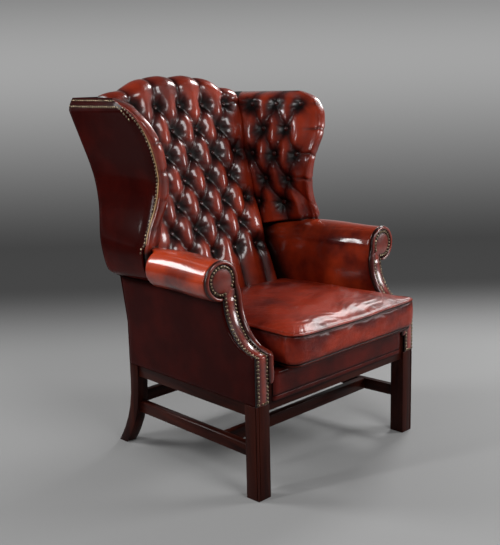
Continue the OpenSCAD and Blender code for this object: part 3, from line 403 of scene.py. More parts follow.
# The inside back: one hide over horsehair and felt, drawn in by buttons set in diamonds; the leather
# folds from button to button, in pleats up over the crest and down behind the seat.
leg_y, rail_z, deck_z, wing_top = -0.347, 0.2683, 0.358, 1.074
tuft_w, tuft_h, tuft_z, back_slope = 0.100, 0.077, 0.573, 0.30
panel = 0.004
rake_steps = np.arange(8) / 7
rake_z = np.concatenate([[0.268], 0.400 + 0.720 * rake_steps])
rake_y = np.concatenate([[0.227], 0.227 + 0.180 * (0.66 * rake_steps + 0.34 * rake_steps ** 2)])


def back_rear_y(z):
    return np.interp(z, rake_z, rake_y)


def pad_front_y(z):
    return leg_y + 0.500 + back_slope * (z - 0.4703)


def back_half(z):
    shares = [[0, 0.5], [0.27, 0.03], [0.42, 0], [0.69, 0], [1, 1]]
    return 0.244 + 0.031 * np.interp((z - deck_z) / 0.716, *np.array(shares).T)


def pad_half(z):
    """Half the width of the inside back, which keeps its sides straight above the wings."""
    return back_half(np.minimum(z, wing_top)) - 0.0006


def crest_z(x):
    return wing_top + 0.046 * ease_in((0.260 - np.abs(x)) / 0.180)


def swell(e):
    """Cross-section of a stuffed fold, from 0 in the crease to 1 on the crown."""
    return np.sqrt(np.clip(1 - (1 - 2 * np.clip(e, 0, 0.5)) ** 2.3, 0, 1))


def buttoned(u, w, u_limits, w_limits, buttons, place, depth, seed):
    """Height of deep-buttoned leather over its lattice, its painted shade, and how rubbed it is."""
    uc, wc = np.clip(u, *u_limits), np.clip(w, *w_limits)
    beyond_u, beyond_w = np.minimum(np.abs(u - uc), 0.5), np.minimum(np.abs(w - wc) * 0.5, 0.5)
    a, b = uc + wc / 2, uc - wc / 2
    ea, eb = np.abs(a - np.round(a)), np.abs(b - np.round(b))
    low = np.where((beyond_u > 0) & (beyond_w > 0), np.minimum(beyond_u, beyond_w), np.minimum(ea, eb))
    near, near_ragged, ripple = np.ones(u.shape), np.ones(u.shape), np.zeros(u.shape)
    rng = np.random.default_rng(seed)
    for spot in buttons:
        dx, dz = place[0] - spot[0], place[1] - spot[1]
        skew, size = rng.uniform(-0.18, 0.18), rng.uniform(0.90, 1.12)
        r = np.hypot(dx + skew * dz, dz * 0.94) / size
        angle = np.arctan2(dz, dx)
        turns, phase = int(rng.integers(6, 11)), rng.uniform(0, 6.28)
        pull = np.sin(turns * angle + phase) + 0.6 * np.sin((2 * turns + 1) * angle + 2 * phase)
        ripple += hump(r - 0.022, 0.009) * pull * 0.0012
        near = np.minimum(near, r)
        near_ragged = np.minimum(near_ragged, r * (1 + 0.10 * pull) * (1 + 0.12 * np.sin(angle)))
    pit = 1 - 0.97 * hump(near, 0.0225)
    height = depth * pit * (0.24 * (2 * low) ** 0.8 + 0.26 + 0.50 * swell(low)) - 0.003 * hump(near, 0.012)
    # Shade is painted nearly black into the button wells, and more lightly into the folds between pillows.
    well = np.exp(-(near_ragged / 0.0270) ** 3.0)
    fold = np.clip(1.20 - 2.2 * swell(low), 0, 1)
    worn = ease_in((height / depth - 0.50) / 0.45) * 0.80
    return height + ripple, np.clip(np.maximum(well, fold * 0.8), 0, 1), worn


back_cols, front_rows, roll_rows = 131, 138, 14
share = np.linspace(-1, 1, back_cols)
back_buttons = [(x * tuft_w, tuft_z + k * tuft_h) for k in range(7) for x in (
    (-2, -1, 0, 1, 2) if k % 2 == 0 else (-1.5, -0.5, 0.5, 1.5))]
front_points, back_painted_shade, back_worn = [], [], []
column_top = crest_z(share * back_half(1.05))
roll_start, back_foot = column_top - 0.036, deck_z + 0.001
lean_back = math.atan(back_slope)
for r in range(front_rows + roll_rows + 3):
    past = r - front_rows
    turn_share = min(1.0, max(past + 1, 0) / roll_rows) * math.pi / 2
    lean = lean_back + (math.pi / 2 - lean_back) * turn_share / (math.pi / 2)
    if past < 0:
        z = z_field = back_foot + (roll_start - back_foot) * r / (front_rows - 1)
        y = pad_front_y(z)
    else:
        z = roll_start + (column_top - roll_start - 0.001) * math.sin(turn_share)
        y_a, y_b = pad_front_y(roll_start), back_rear_y(column_top) - panel - 0.006
        y = y_a + (y_b - y_a) * (1 - math.cos(turn_share))
        z_field = roll_start + (y - y_a) * 0.8 + (z - roll_start)
    half = pad_half(z)
    x = share * half
    height, painted_shade, worn = buttoned(x / tuft_w, (z_field - tuft_z) / tuft_h, (-2, 2), (0, 6),
                                    back_buttons, (x, z_field), 0.027, 5)
    side = rounded((half - np.abs(x)) / 0.034)
    height = height * side
    # Painted shade where the leather rounds off at the sides against the wings.
    painted_shade = np.maximum(painted_shade, np.clip(1 - side * 1.6, 0, 1))
    if past >= 0:
        height = height * math.cos(turn_share * 0.93) ** 0.6
        worn = worn * 0.8 + 0.1
    if past >= roll_rows:
        lower = (0.0045, 0.010, 0.0155)[past - roll_rows]
        y = back_rear_y(column_top - lower if lower > 0.015 else z) - panel - 0.0006
        z, height = column_top - lower, height * 0
    front_points.append(np.stack([x, y - height * np.cos(lean), z + height * np.sin(lean)], -1))
    back_painted_shade.append(painted_shade)
    back_worn.append(worn)
total_rows, rear_top = len(front_points), column_top - 0.0155
rear_points = []
for r in range(total_rows):
    z = rear_top + (back_foot - rear_top) * (1 - r / (total_rows - 1))
    rear_points.append(np.stack([share * pad_half(z), back_rear_y(z) - 0.037 - 0.0035, z], -1))
shell = np.concatenate([np.array(front_points), np.array(rear_points)[::-1]])
ring_rows = len(shell)
faces = patch_faces(ring_rows, back_cols)
faces += [((ring_rows - 1) * back_cols + c, (ring_rows - 1) * back_cols + c + 1, c + 1, c)
          for c in range(back_cols - 1)]
for c in (0, back_cols - 1):
    for r in range(total_rows - 1):
        far_r = ring_rows - 1 - r
        faces.append(tuple(k * back_cols + c for k in (r, r + 1, far_r - 1, far_r)))
rear_marks = np.ones((total_rows, back_cols))
cover("inside_back_cover", ["inside_back"], shell, faces, np.concatenate([back_painted_shade, rear_marks]),
      np.concatenate([back_worn, rear_marks * 0]), tufted_hide, "leather", fill=0.85)

# Buttons: small domes covered in the same hide, each drawn down to the bottom of its fold by twine
# tied behind the webbing. Those of the back stand in seven rows, those of each wing in five.
button_hide = hide_finish("button_hide", oxblood, (0.030, 0.0045, 0.0035), 0.2, 0.0, 0.1, 0.0004, 0.5)
bpy.ops.mesh.primitive_cylinder_add(vertices=20, radius=0.0082, depth=0.003, location=(0, 0, 0.0015))
button = bpy.context.object
bpy.ops.object.mode_set(mode="EDIT")
bpy.ops.mesh.select_all(action="DESELECT")
bpy.ops.object.mode_set(mode="OBJECT")
for face in button.data.polygons:
    face.select = face.normal.z > 0.9
bpy.ops.object.mode_set(mode="EDIT")
for inward, upward in ((0.0014, 0.0015), (0.0026, 0.0010), (0.0024, 0.0004)):
    bpy.ops.mesh.inset(thickness=inward)
    bpy.ops.transform.translate(value=(0, 0, upward))
bpy.ops.object.mode_set(mode="OBJECT")
modify(button, "SUBSURF", levels=1, render_levels=1)


def set_out(name, nodes, pattern, spots, finish, slot_name, wobble, mirror=False):
    """Copies of one small fixing, each turned to its own direction, in one piece."""
    shape = np.array([v.co for v in pattern.data.vertices])
    polygons = [tuple(p.vertices) for p in pattern.data.polygons]
    points, faces = [], []
    rng = np.random.default_rng(len(spots))
    flip = (-1 if mirror else 1, 1, 1)
    for spot, facing in spots:
        facing = unit(unit(np.array(facing, float) * flip) + rng.normal(0, 1, 3) * wobble)
        side = unit(np.cross(facing, (0.3, 0.5, 0.81)))
        start = len(points) * len(shape)
        points.append(np.array(spot) * flip + shape @ np.stack([side, np.cross(facing, side), facing]))
        faces += [tuple(start + i for i in p) for p in polygons]
    cover(name, nodes, np.concatenate(points), faces, 0.0, 0.0, finish, slot_name)


spots = [((x, pad_front_y(z) - 0.0002, z), (0, -1, back_slope)) for x, z in back_buttons]
set_out("back_button_heads", ["back_buttons"], button, spots, button_hide, "leather", 0.03)

# The wings: a shaped stick and board padded on the inside, with the buttoned hide brought round a
# stuffed front edge to the outside, where it is nailed. Each stands on the arm.
arm_x, roll_z, roll_r, arm_out = 0.353, 0.594, 0.056, 0.007
side_angle = math.atan((arm_x - 0.324) / 0.574)
skin_z, wing_foot, wing_tall, board_x = roll_z - roll_r + 0.006, 0.650, 0.424, 0.3497
wing_y_shares = [[0, 0.1], [0.02, 0.075], [0.1, 0.083], [0.18, 0.086], [0.26, 0.075], [0.36, 0.056],
                 [0.46, 0.036], [0.56, 0.017], [0.66, 0], [0.75, 0.011], [0.84, 0.047], [0.91, 0.117],
                 [0.955, 0.192], [1, 0.33]]
wing_x_shares = [[-0.25, -0.08], [-0.23, 0.18], [-0.19, 0.38], [-0.13, 0.51], [-0.06, 0.56], [0.02, 0.55],
                 [0.1, 0.41], [0.18, 0.23], [0.26, 0.08], [0.36, 0], [0.46, 0.01], [0.56, 0.15],
                 [0.66, 0.36], [0.75, 0.53], [0.84, 0.71], [0.91, 0.83], [0.955, 0.94], [1, 1]]
wing_levels = np.linspace(0, 1, 121)
wing_y_line = flow(wing_y_shares, wing_levels)


def wing_edge_y(z):
    return 0.026 + 0.377 * np.interp((z - wing_foot) / wing_tall, wing_levels, wing_y_line)


def wing_edge_x(z):
    return 0.336 + 0.086 * flow(wing_x_shares, (z - wing_foot) / wing_tall)


def wing_rear_x(z):
    edge = wing_edge_x(z)
    return edge + (0.360 - edge) * 0.5 * ease_in((z - skin_z) / 0.038)


def wing_in_x(z):
    stick = board_x + (wing_edge_x(z) - 0.0043 - board_x) * ease_in((z - roll_z) / 0.057)
    return np.minimum(wing_edge_x(z) - 0.042, stick - 0.0352)


def wing_skin_y(z):
    return back_rear_y(z) - panel


def wing_roll_in(y, z):
    """How far the outside wing's skin turns in, over the stuffing of its top and front edges."""
    high = np.clip((z - (wing_top - 0.040)) / 0.040, 0, 1)
    near_front = np.clip(1 - (y - wing_edge_y(z)) / 0.040, 0, 1) * ease_in((z - 0.640) / 0.02)
    return 0.0320 * high ** 1.4 + 0.0095 * near_front ** 2 * (1 - high)


def arm_top_z(x, y):
    """Height of the arm's rounded top at a place, so that the wing's foot sits on it."""
    across_arm = (x - arm_x) + (y - leg_y) * math.sin(side_angle) - arm_out
    width = np.where(across_arm < 0, 0.082, roll_r)
    return roll_z + roll_r * np.sqrt(np.clip(1 - (across_arm / width) ** 2, 0, 1))


wing_pitch_y, wing_pitch_z, wing_row_z = 0.0825, 0.081, wing_foot + 0.7 * 0.081


def wing_lattice_y(z):
    return 0.026 + 0.0518 + 0.17 * (z - wing_row_z - 2 * wing_pitch_z)


def back_side_x(z):
    return back_half(z) + 0.0006


wing_spots = [(wing_lattice_y(z) + m * wing_pitch_y, z) for k, z in enumerate(
    wing_row_z + np.arange(5) * wing_pitch_z) for m in (
        (1, 2) if k == 0 else (0, 1, 2) if k % 2 == 0 else (0.5, 1.5))]
edge_cols, inner_cols, main_rows, cap_rows = 14, 60, 100, 12
wing_grid, wing_painted_shade, wing_worn = [], [], []
turns = np.concatenate([np.linspace(0, math.pi, edge_cols, endpoint=False), np.full(inner_cols, math.pi)])
p = np.concatenate([np.zeros(edge_cols), np.linspace(0, 1, inner_cols)])
on_edge, edge_arc = turns < math.pi, (1 - turns / math.pi) * 0.052
cap_z = wing_top - 0.030
for r in range(main_rows + cap_rows):
    cap_turn = max(r - main_rows + 1, 0) / cap_rows * math.pi / 2
    flat, level, over = cap_turn > 0, min(r / (main_rows - 1), 1.0), 1 - math.cos(cap_turn)
    z_guess = np.full(edge_cols + inner_cols, cap_z + (wing_top - 0.0006 - cap_z) * math.sin(cap_turn))
    for _ in range(2):
        z = z_guess
        xf, yf, inner = wing_edge_x(z), wing_edge_y(z), wing_in_x(z)
        y_back = pad_front_y(z) + (wing_skin_y(z) - 0.001 - pad_front_y(z)) * over
        x = (xf + inner) / 2 + (xf - inner) / 2 * np.cos(turns)
        x = x - 0.006 * np.clip(np.cos(turns), 0, 1) ** 2 * math.cos(cap_turn)
        y = yf - 0.014 * np.sin(turns) ** 0.8 * math.cos(cap_turn)
        y = np.where(on_edge, y, yf + (y_back - yf) * p)
        x = np.where(on_edge, x, inner + (back_side_x(z) - inner) * p)
        if not flat:
            foot = arm_top_z(x, y) - 0.003
            z_guess = foot + (cap_z - foot) * level
    y_field, z_field = np.where(on_edge, yf - edge_arc, y), z + 0.02 * over
    height, painted_shade, worn = buttoned((y_field - wing_lattice_y(z)) / wing_pitch_y,
                                    (z_field - wing_row_z) / wing_pitch_z, (0, 2), (0, 4),
                                    wing_spots, (y_field, z_field), 0.019, 8)
    plain = 1 - ease_in(p * 4.5)
    height = height * (1 - plain) + (height - 0.019) * 0.45 * plain * ease_in(turns / math.pi * 1.3)
    rear = rounded((1 - p) * (y_back - yf) / 0.030)
    height = height * rear * math.cos(cap_turn * 0.95) ** 0.7
    # Painted shade where the leather rounds off into the back, and in the pleats along its front edge.
    painted_shade = np.maximum(painted_shade * (1 - 0.55 * plain), np.clip(1 - rear * 1.6, 0, 1))
    for k in (1, 2, 3):
        pleat_z = wing_row_z + k * wing_pitch_z + 0.004 * np.sin(turns * 2.0 + k)
        pleat = hump(z - pleat_z, 0.0042) * plain * (not flat) * (0.35 + 0.65 * turns / math.pi)
        height = height - 0.0042 * pleat
        painted_shade = np.maximum(painted_shade, 0.75 * pleat)
    # Painted shade along the wing's foot, where it meets the arm.
    foot_painted_shade = np.clip(1 - (z - arm_top_z(x, y)) / 0.018, 0, 1)
    painted_shade = np.maximum(painted_shade, foot_painted_shade ** 2 * 0.9)
    worn = np.maximum(worn * (1 - plain), plain * 0.55)
    dx, dy = back_side_x(z) - inner, y_back - yf
    length, side_mix = np.hypot(dx, dy), np.where(on_edge, 0, ease_in(p * 8))
    x = x + (-dy / length * side_mix + np.cos(turns) * (1 - side_mix)) * height
    y = y + (dx / length * side_mix - np.sin(turns) * (1 - side_mix)) * height
    outer = xf + (wing_rear_x(z) - xf) * np.clip((y - yf) / (wing_skin_y(z) - yf), 0, 1) - 0.0312
    x = x + (outer - 0.0006 - x) * over
    y = np.where(on_edge, y + (yf - y) * over, y)
    rim_z, rim_in = z[-1], back_side_x(z[-1])
    if flat:
        y_rear = wing_skin_y(rim_z) - 0.001
        x_rear = wing_rear_x(rim_z) - 0.0006 - (wing_roll_in(y_rear, rim_z) + 0.0010)
        x_front = xf[0] - 0.0046 - (wing_roll_in(yf[0] + 0.01, z[0]) + 0.0010)
    else:
        y_rear = back_rear_y(rim_z) - 0.037 - 0.003
        x_rear = min(wing_in_x(rim_z) + 0.010, wing_rear_x(rim_z) - 0.033)
        x_front = min(xf[0] - 0.0046, wing_in_x(z[0]) + 0.011)
    x_rear = max(x_rear, back_half(rim_z) + 0.004)
    hidden = [[rim_in + (x_rear - rim_in) * over, y_rear, rim_z], [x_rear, y_rear, rim_z],
              [x_front, yf[0] + (0.0008 if flat else 0.004), z[0]]]
    wing_grid.append(np.concatenate([np.stack([x, y, z], -1), hidden]))
    wing_painted_shade.append(np.concatenate([painted_shade, [1, 1, 1]]))
    wing_worn.append(np.concatenate([worn, [0, 0, 0]]))
wing_cols = edge_cols + inner_cols + 3
wing_faces = patch_faces(len(wing_grid), wing_cols, wrap=True) + [tuple(range(wing_cols))]
both_sides(cover, "inside_wing_cover_", "inside_wing_", wing_grid, wing_faces, wing_painted_shade, wing_worn,
           tufted_hide, "leather", fill=0.8)
spots = []
for s in (1, -1):
    for y, z in wing_spots:
        y0, inner = wing_edge_y(z), wing_in_x(z)
        x = inner + (back_side_x(z) - inner) * np.clip((y - y0) / (pad_front_y(z) - y0), 0, 1)
        spots.append(((s * (x + 0.002), y, z), (-s, -0.35, 0)))
set_out("wing_button_heads", ["wing_buttons"], button, spots, button_hide, "leather", 0.03)
bpy.data.objects.remove(button)

# The outsides: plain hide stretched over board on each wing, arm and the back, dyed darker than the
# seat side. The wing's outside turns under at the arm, and the arm's and back's end at the rails.
def two_skins(rows, cols):
    """Faces of a thin panel: its outer grid, its inner grid and the edge that joins them."""
    count = rows * cols
    ring = list(range(cols)) + [r * cols + cols - 1 for r in range(1, rows)]
    ring += [(rows - 1) * cols + c for c in range(cols - 2, -1, -1)]
    ring += [r * cols for r in range(rows - 2, 0, -1)]
    return patch_faces(rows, cols) + [f[::-1] for f in patch_faces(rows, cols, start=count)] + [
        (b, a, a + count, b + count) for a, b in zip(ring, ring[1:] + ring[:1])]


def panelled(name, nodes, outer, inner, finish, worn, painted_shade, mirror=False, fill=0.5):
    """A thin covered panel from the grids of its outer and inner skins."""
    size = outer.shape[:2]
    marks, wears = (np.concatenate([np.broadcast_to(mark, size), np.full(size, hidden)]) for mark, hidden in (
        (painted_shade, 1.0), (worn, 0.0)))
    return cover(name, nodes, np.concatenate([outer, inner]), two_skins(*size), marks, wears,
                 finish, "dark_leather", fill=fill, mirror=mirror)


def rounded_edges(rows, cols, reach_rows, reach_cols):
    """How full a panel is at each point: none at its nailed edges, all away from them."""
    r, c = (np.minimum(np.linspace(0, 1, count), np.linspace(1, 0, count)) for count in (rows, cols))
    return rounded(r / reach_rows)[:, None] * rounded(c / reach_cols)[None]


rows, cols = 110, 64
level, t = np.linspace(1, 0, rows)[:, None], np.linspace(0, 1, cols)[None] ** 1.5
z = skin_z + 0.0006 + (wing_top - 0.0011 - skin_z) * (1 - level ** 1.5)
xf, xr, yf, yr = wing_edge_x(z), wing_rear_x(z), wing_edge_y(z), wing_skin_y(z)
full = rounded_edges(rows, cols, 0.04, 0.06)
y = yf + (yr - yf) * t
outer = np.stack(np.broadcast_arrays(xf + (xr - xf) * t + 0.0030 * full - wing_roll_in(y, z), y, z), -1)
# Its skin is made lighter along its nailed edges and, as a painted sheen, where it turns under at its foot.
both_sides(panelled, "outside_wing_cover_", "outside_wing_", outer, outer - (panel, 0, 0), outer_hide,
           0.5 * ease_in((0.62 - z) / 0.06) + 0.35 * (1 - full) ** 2, 0.0)


def arm_place(u, v, z):
    """A point of the right arm's own frame, out from the leg's line and back along the rail."""
    u, v, z = np.broadcast_arrays(np.asarray(u, float), np.asarray(v, float), np.asarray(z, float))
    return np.stack([arm_x + u * math.cos(side_angle) - v * math.sin(side_angle),
                     leg_y + u * math.sin(side_angle) + v * math.cos(side_angle), z], -1)


pad_t, scroll_back, curve_low = 0.007, 0.120, 0.405
scroll_r = roll_r - 1.7 * pad_t
curve_high = roll_z - scroll_r
curve_angle = np.linspace(0, math.pi / 2, 40)
curve_v = np.concatenate([[0, 0], scroll_back * np.sin(curve_angle)])
curve_z = np.concatenate([[0.268, 0.402], curve_high - (curve_high - curve_low) * np.cos(curve_angle)])


def front_v(z):
    """How far behind the leg the arm's shaped front stands at a height."""
    return np.interp(z, curve_z, curve_v)


rows, cols = 44, 70
z, t = np.linspace(rail_z, skin_z, rows)[:, None], np.linspace(0, 1, cols)[None]
v0 = front_v(z) + 0.0072
v1 = (back_rear_y(z) - panel - 0.0006 - leg_y) / math.cos(side_angle)
full = rounded_edges(rows, cols, 0.06, 0.03)
# Painted shadow along the top of the outside arm, under the overhang of the roll.
both_sides(panelled, "outside_arm_cover_", "outside_arm_", arm_place(0.0024 * full, v0 + (v1 - v0) * t, z),
           arm_place(-panel, v0 + (v1 - v0) * t, z), outer_hide, 0.30 * (1 - full) ** 2,
           0.8 * ease_in((z - 0.515) / 0.03))

rows, cols = 90, 70
share, level = np.linspace(-1, 1, cols)[None], np.linspace(0, 1, rows)[:, None]
z = rail_z + 0.75 * level * np.ones_like(share)
for _ in range(4):
    half = np.where(z < skin_z, 0.324, np.maximum(0.324, wing_rear_x(z))) - 0.0005
    x = share * (half - wing_roll_in(0.38, z))
    z = rail_z + (crest_z(x) - 0.0005 - rail_z) * level
full = rounded_edges(rows, cols, 0.03, 0.04)
outer, inner = (np.stack([x, back_rear_y(z) + out, z], -1)[:, ::-1] for out in (
    0.0035 * full, 0.0003 - panel))
panelled("outside_back_cover", ["outside_back"], outer, inner, outer_hide, 0.30 * (1 - full) ** 2, 0.0)

# The arms: a rail on a shaped upright, padded into a roll and covered in one plain hide that wraps
# over the roll and down inside to the seat. The roll's rear end is closed off beside the wing.
arm_end = 0.394
turns =np.radians(np.concatenate([np.linspace(-101, 84, 40), np.linspace(88, 180, 24), np.full(29, 180)]))
drop = np.concatenate([np.zeros(64), np.linspace(0, 1, 30)[1:]])
arm_rows, arm_cols, drops = 84, len(turns), 29
dropping = drop > 0
arm_u, arm_v, arm_z, arm_painted_shade, arm_worn = np.zeros((5, arm_rows, arm_cols))
for r in range(arm_rows):
    k = r / (arm_rows - 1)
    k = 0.5 * k + 0.5 * (0.5 - 0.5 * math.cos(math.pi * k))
    z = np.where(dropping, roll_z - (roll_z - deck_z - 0.001) * drop, roll_z + roll_r * np.sin(turns))
    v_start = np.where(dropping, np.minimum(front_v(z) + pad_t, scroll_back + pad_t), scroll_back + pad_t)
    rear_in = (pad_front_y(z) + 0.024 - leg_y) / math.cos(side_angle)
    inner_part = ease_in((turns - math.radians(66)) / math.radians(30))
    v_rear = arm_end + (rear_in - arm_end) * inner_part
    v = v_start + (v_rear - v_start) * k
    wide = 0.060 + 0.022 * ease_in((v - 0.125) / 0.17)
    u = arm_out + np.where(turns <= math.pi / 2, roll_r, wide) * np.cos(turns)
    u = np.where(dropping, arm_out - wide - 0.004 * np.sin(math.pi * drop) + 0.003 * drop, u)
    nose = rounded((v - v_start) / 0.008)
    tail = rounded((v_rear - v) / 0.020) * (1 - inner_part) + inner_part
    draw = np.where(dropping, 1, 1 - 0.05 * (1 - nose) - 0.42 * (1 - tail))
    u, z = arm_out + (u - arm_out) * draw, np.where(dropping, z, roll_z + (z - roll_z) * draw)
    sag = 0.0022 * np.sin(5.1 * v / 0.27 + 1.3 * turns) * np.where(dropping, 0.6, 1) * nose * tail
    arm_u[r], arm_v[r], arm_z[r] = u + sag * np.cos(turns), v, z + np.where(dropping, 0, sag * np.sin(turns))
    # Painted shade at the front welt, at the drawn-in rear end, low inside by the back and seat, and under
    # the roll.
    arm_painted_shade[r] = np.clip(np.maximum.reduce([
        0.75 * (1 - nose), (1 - tail) * 0.8 * (turns < 1.4),
        0.85 * ease_in((0.12 * drop + v - 0.46) / 0.08) * (turns > 1.7), 0.9 * ease_in((drop - 0.55) / 0.5),
        0.6 * ease_in((math.radians(-70) - turns) / 0.5)]), 0, 1)
    arm_worn[r] = 0.75 * hump(turns - 1.0, 1.0) * ~dropping + 0.25 * dropping * (1 - drop)
round_cols, ring_cols = arm_cols - drops, arm_cols + drops
hidden = arm_place(-0.0145, np.minimum(arm_v[:, round_cols:], 0.52)[:, ::-1] + 0.001,
                   np.minimum(arm_z[:, round_cols:], skin_z - 0.002)[:, ::-1])
arm_faces = patch_faces(arm_rows, ring_cols, wrap=True)
for first in (0, (arm_rows - 1) * ring_cols):
    arm_faces.append(tuple(first + c for c in range(round_cols + 1)) + (first + ring_cols - 1,))
    arm_faces += [(first + round_cols + j, first + round_cols + j + 1, first + ring_cols - 2 - j,
                   first + ring_cols - 1 - j) for j in range(drops - 1)]
under = np.ones((arm_rows, drops))
both_sides(cover, "arm_cover_", "arm_pad_", np.concatenate([arm_place(arm_u, arm_v, arm_z), hidden], 1),
           arm_faces, np.concatenate([arm_painted_shade, under], 1), np.concatenate([arm_worn, under * 0], 1),
           roll_hide, "leather", fill=0.85)

# The arm fronts: a strip of hide, a little stuffed, that follows the shaped upright from the leg to
# the scroll and widens into its round; a padded roll with painted shade on its flanks frames it on the
# seat side and over the top.
face_rows, face_cols, strip_wide, strip_foot = 90, 15, 0.042, 0.2684
z = np.linspace(strip_foot, roll_z - 0.6 * scroll_r, face_rows)[:, None]
t = np.linspace(0, 1, face_cols)[None]
slope = np.gradient(front_v(z[:, 0]), z[:, 0])[:, None]
forward = 1 / np.sqrt(1 + slope ** 2)
belly = np.sin(math.pi * t) ** 1.2 * 0.0042 * ease_in((z - strip_foot) / 0.012) * (
    1 - 0.92 * ease_in((z - curve_high + 0.016) / 0.016))
strip = [arm_place(strip_wide * (t - 1) + 0 * z, v, z_).reshape(-1, 3) for v, z_ in (
    (front_v(z) - belly * forward + 0.0004, z + belly * slope * forward),
    (front_v(z) + pad_t - 0.0004, z))]
count, disc_count = face_rows * face_cols, 48
face_worn = 0.75 * np.sin(math.pi * t) ** 3 * np.ones_like(z)
# Painted shade towards the strip's edges, where it rounds down to the nails.
face_painted_shade = np.clip(1 - np.sin(math.pi * t) ** 0.7 * 1.5, 0, 0.8) * np.ones_like(z)
disc_turn = np.linspace(0, 2 * math.pi, disc_count, endpoint=False)
open_side = np.exp(-(((disc_turn - math.radians(222)) / math.radians(34)) ** 4))
# Painted shade round the disc's rim under the framing roll, lighter in its middle and on its open side.
disc_points, disc_painted_shade, disc_worn = [], [], []
for share_r, proud in ((1.0, -0.0070), (1.0, -0.0006), (0.97, 0.0002), (0.90, 0.0007), (0.80, 0.0012),
                       (0.66, 0.0026), (0.5, 0.0038), (0.33, 0.0044), (0.16, 0.0046)):
    rr = scroll_r * share_r
    disc_points.append(arm_place(arm_out + rr * np.cos(disc_turn), scroll_back - proud,
                                 roll_z + rr * np.sin(disc_turn)))
    rim = share_r > 0.7
    disc_painted_shade.append((0.75 if rim else 0.12) * (1 - open_side) + 0.08 * open_side)
    disc_worn.append((0.0 if rim else 0.3) * (1 - open_side) + 0.35 * open_side)
disc_points.append(arm_place([arm_out], [scroll_back - 0.0046], [roll_z]))
disc_faces = patch_faces(9, disc_count, wrap=True)
disc_faces += [(8 * disc_count + i, 8 * disc_count + (i + 1) % disc_count, 9 * disc_count)
               for i in range(disc_count)] + [tuple(range(disc_count))[::-1]]
face_all = two_skins(face_rows, face_cols) + [tuple(i + 2 * count for i in f) for f in disc_faces]
both_sides(cover, "arm_front_strip_", "arm_facing_", np.concatenate(strip + disc_points), face_all,
           np.concatenate([face_painted_shade.ravel(), np.ones(count), *disc_painted_shade, [0.1]]),
           np.concatenate([face_worn.ravel(), np.zeros(count), *disc_worn, [0.3]]), tufted_hide, "leather",
           fill=0.5)

over_top, down = np.radians(np.linspace(-96, 180, 70)), np.linspace(roll_z, 0.322, 80)[1:]
frame_r, drop = 0.0505, ease_in((roll_z - down) / 0.05)
frame_line = np.concatenate([
    np.stack([arm_out + frame_r * np.cos(over_top), np.full(70, scroll_back + 0.002),
              roll_z + frame_r * np.sin(over_top)], -1),
    np.stack([arm_out - frame_r - 0.0085 * drop, front_v(down) + 0.002, down], -1)])
frame_width = 0.0125 + 0.0075 * np.concatenate([np.zeros(70), drop])
frame_proud = 0.0070 + 0.0035 * np.concatenate([np.zeros(70), drop])
steps = len(frame_line)
run = unit(np.gradient(frame_line, axis=0))
wide_way = unit(np.where(np.arange(steps)[:, None] >= 70, (1.0, 0, 0), -np.cross(run, (0, -1.0, 0))))
proud_way = np.cross(run, wide_way)
proud_way *= np.where(proud_way[:, 1:2] > 0, -1, 1)
section = np.radians(np.linspace(-35, 215, 17))
end = np.minimum(np.minimum(np.arange(steps) / 5.0, np.arange(steps)[::-1] / 6.0), 1.0)
plump = np.sqrt(np.maximum(1 - (1 - end) ** 2, 0.02))
roll_points = frame_line[:, None] + (
    np.cos(section)[:, None] * (wide_way * (frame_width / 2 * plump)[:, None])[:, None]) + (
    np.sin(section)[:, None] * (proud_way * (frame_proud * plump)[:, None])[:, None])
# Painted shade along the roll's flanks and back, least on its proud face.
roll_painted_shade = np.tile(np.clip(0.85 - 0.75 * np.sin(section), 0.12, 1), steps)
roll_wear = np.tile(np.clip(np.sin(section), 0, 1) ** 2 * 0.5, steps)
roll_faces = patch_faces(steps, 17, wrap=True)
roll_faces += [tuple(range(17)), tuple((steps - 1) * 17 + c for c in range(17))]
both_sides(cover, "arm_front_roll_", "arm_border_", arm_place(*np.moveaxis(roll_points, -1, 0)), roll_faces,
           roll_painted_shade, roll_wear, tufted_hide, "leather", fill=0.7, levels=1)

# The nails: domed brass heads, darkened with age in a close row, nine millimetres across on eleven.
# One row follows each edge of the arm's strip and circles the scroll; others close the wings' edges.
nail_brass, tree, surface = new_finish("aged_brass")
cloud = noise(object_place(tree), 160, 3)
feed(surface, {"Base Color": ramp(cloud, (0.36, (0.050, 0.034, 0.022)), (0.66, (0.31, 0.24, 0.155))),
               "Roughness": remap(cloud, to=(0.5, 0.26)), "Metallic": 1.0})
bpy.ops.mesh.primitive_uv_sphere_add(segments=10, ring_count=8, radius=0.0045, location=(0, 0, 0))
nail = bpy.context.object
edit_all((bpy.ops.mesh.bisect, {"plane_co": (0, 0, 0.0001), "plane_no": (0, 0, 1), "clear_inner": True}),
         (bpy.ops.transform.resize, {"value": (1, 1, 0.62)}))


def run_length(points):
    return np.concatenate([[0], np.cumsum(np.linalg.norm(np.diff(points, axis=0), axis=1))])


def along_line(points, spacing):
    """Places at even steps along a line of points."""
    points = np.array(points, float)
    far = run_length(points)
    at = np.linspace(0, far[-1], max(2, int(round(far[-1] / spacing)) + 1))
    return np.stack([np.interp(at, far, points[:, i]) for i in range(3)], -1)


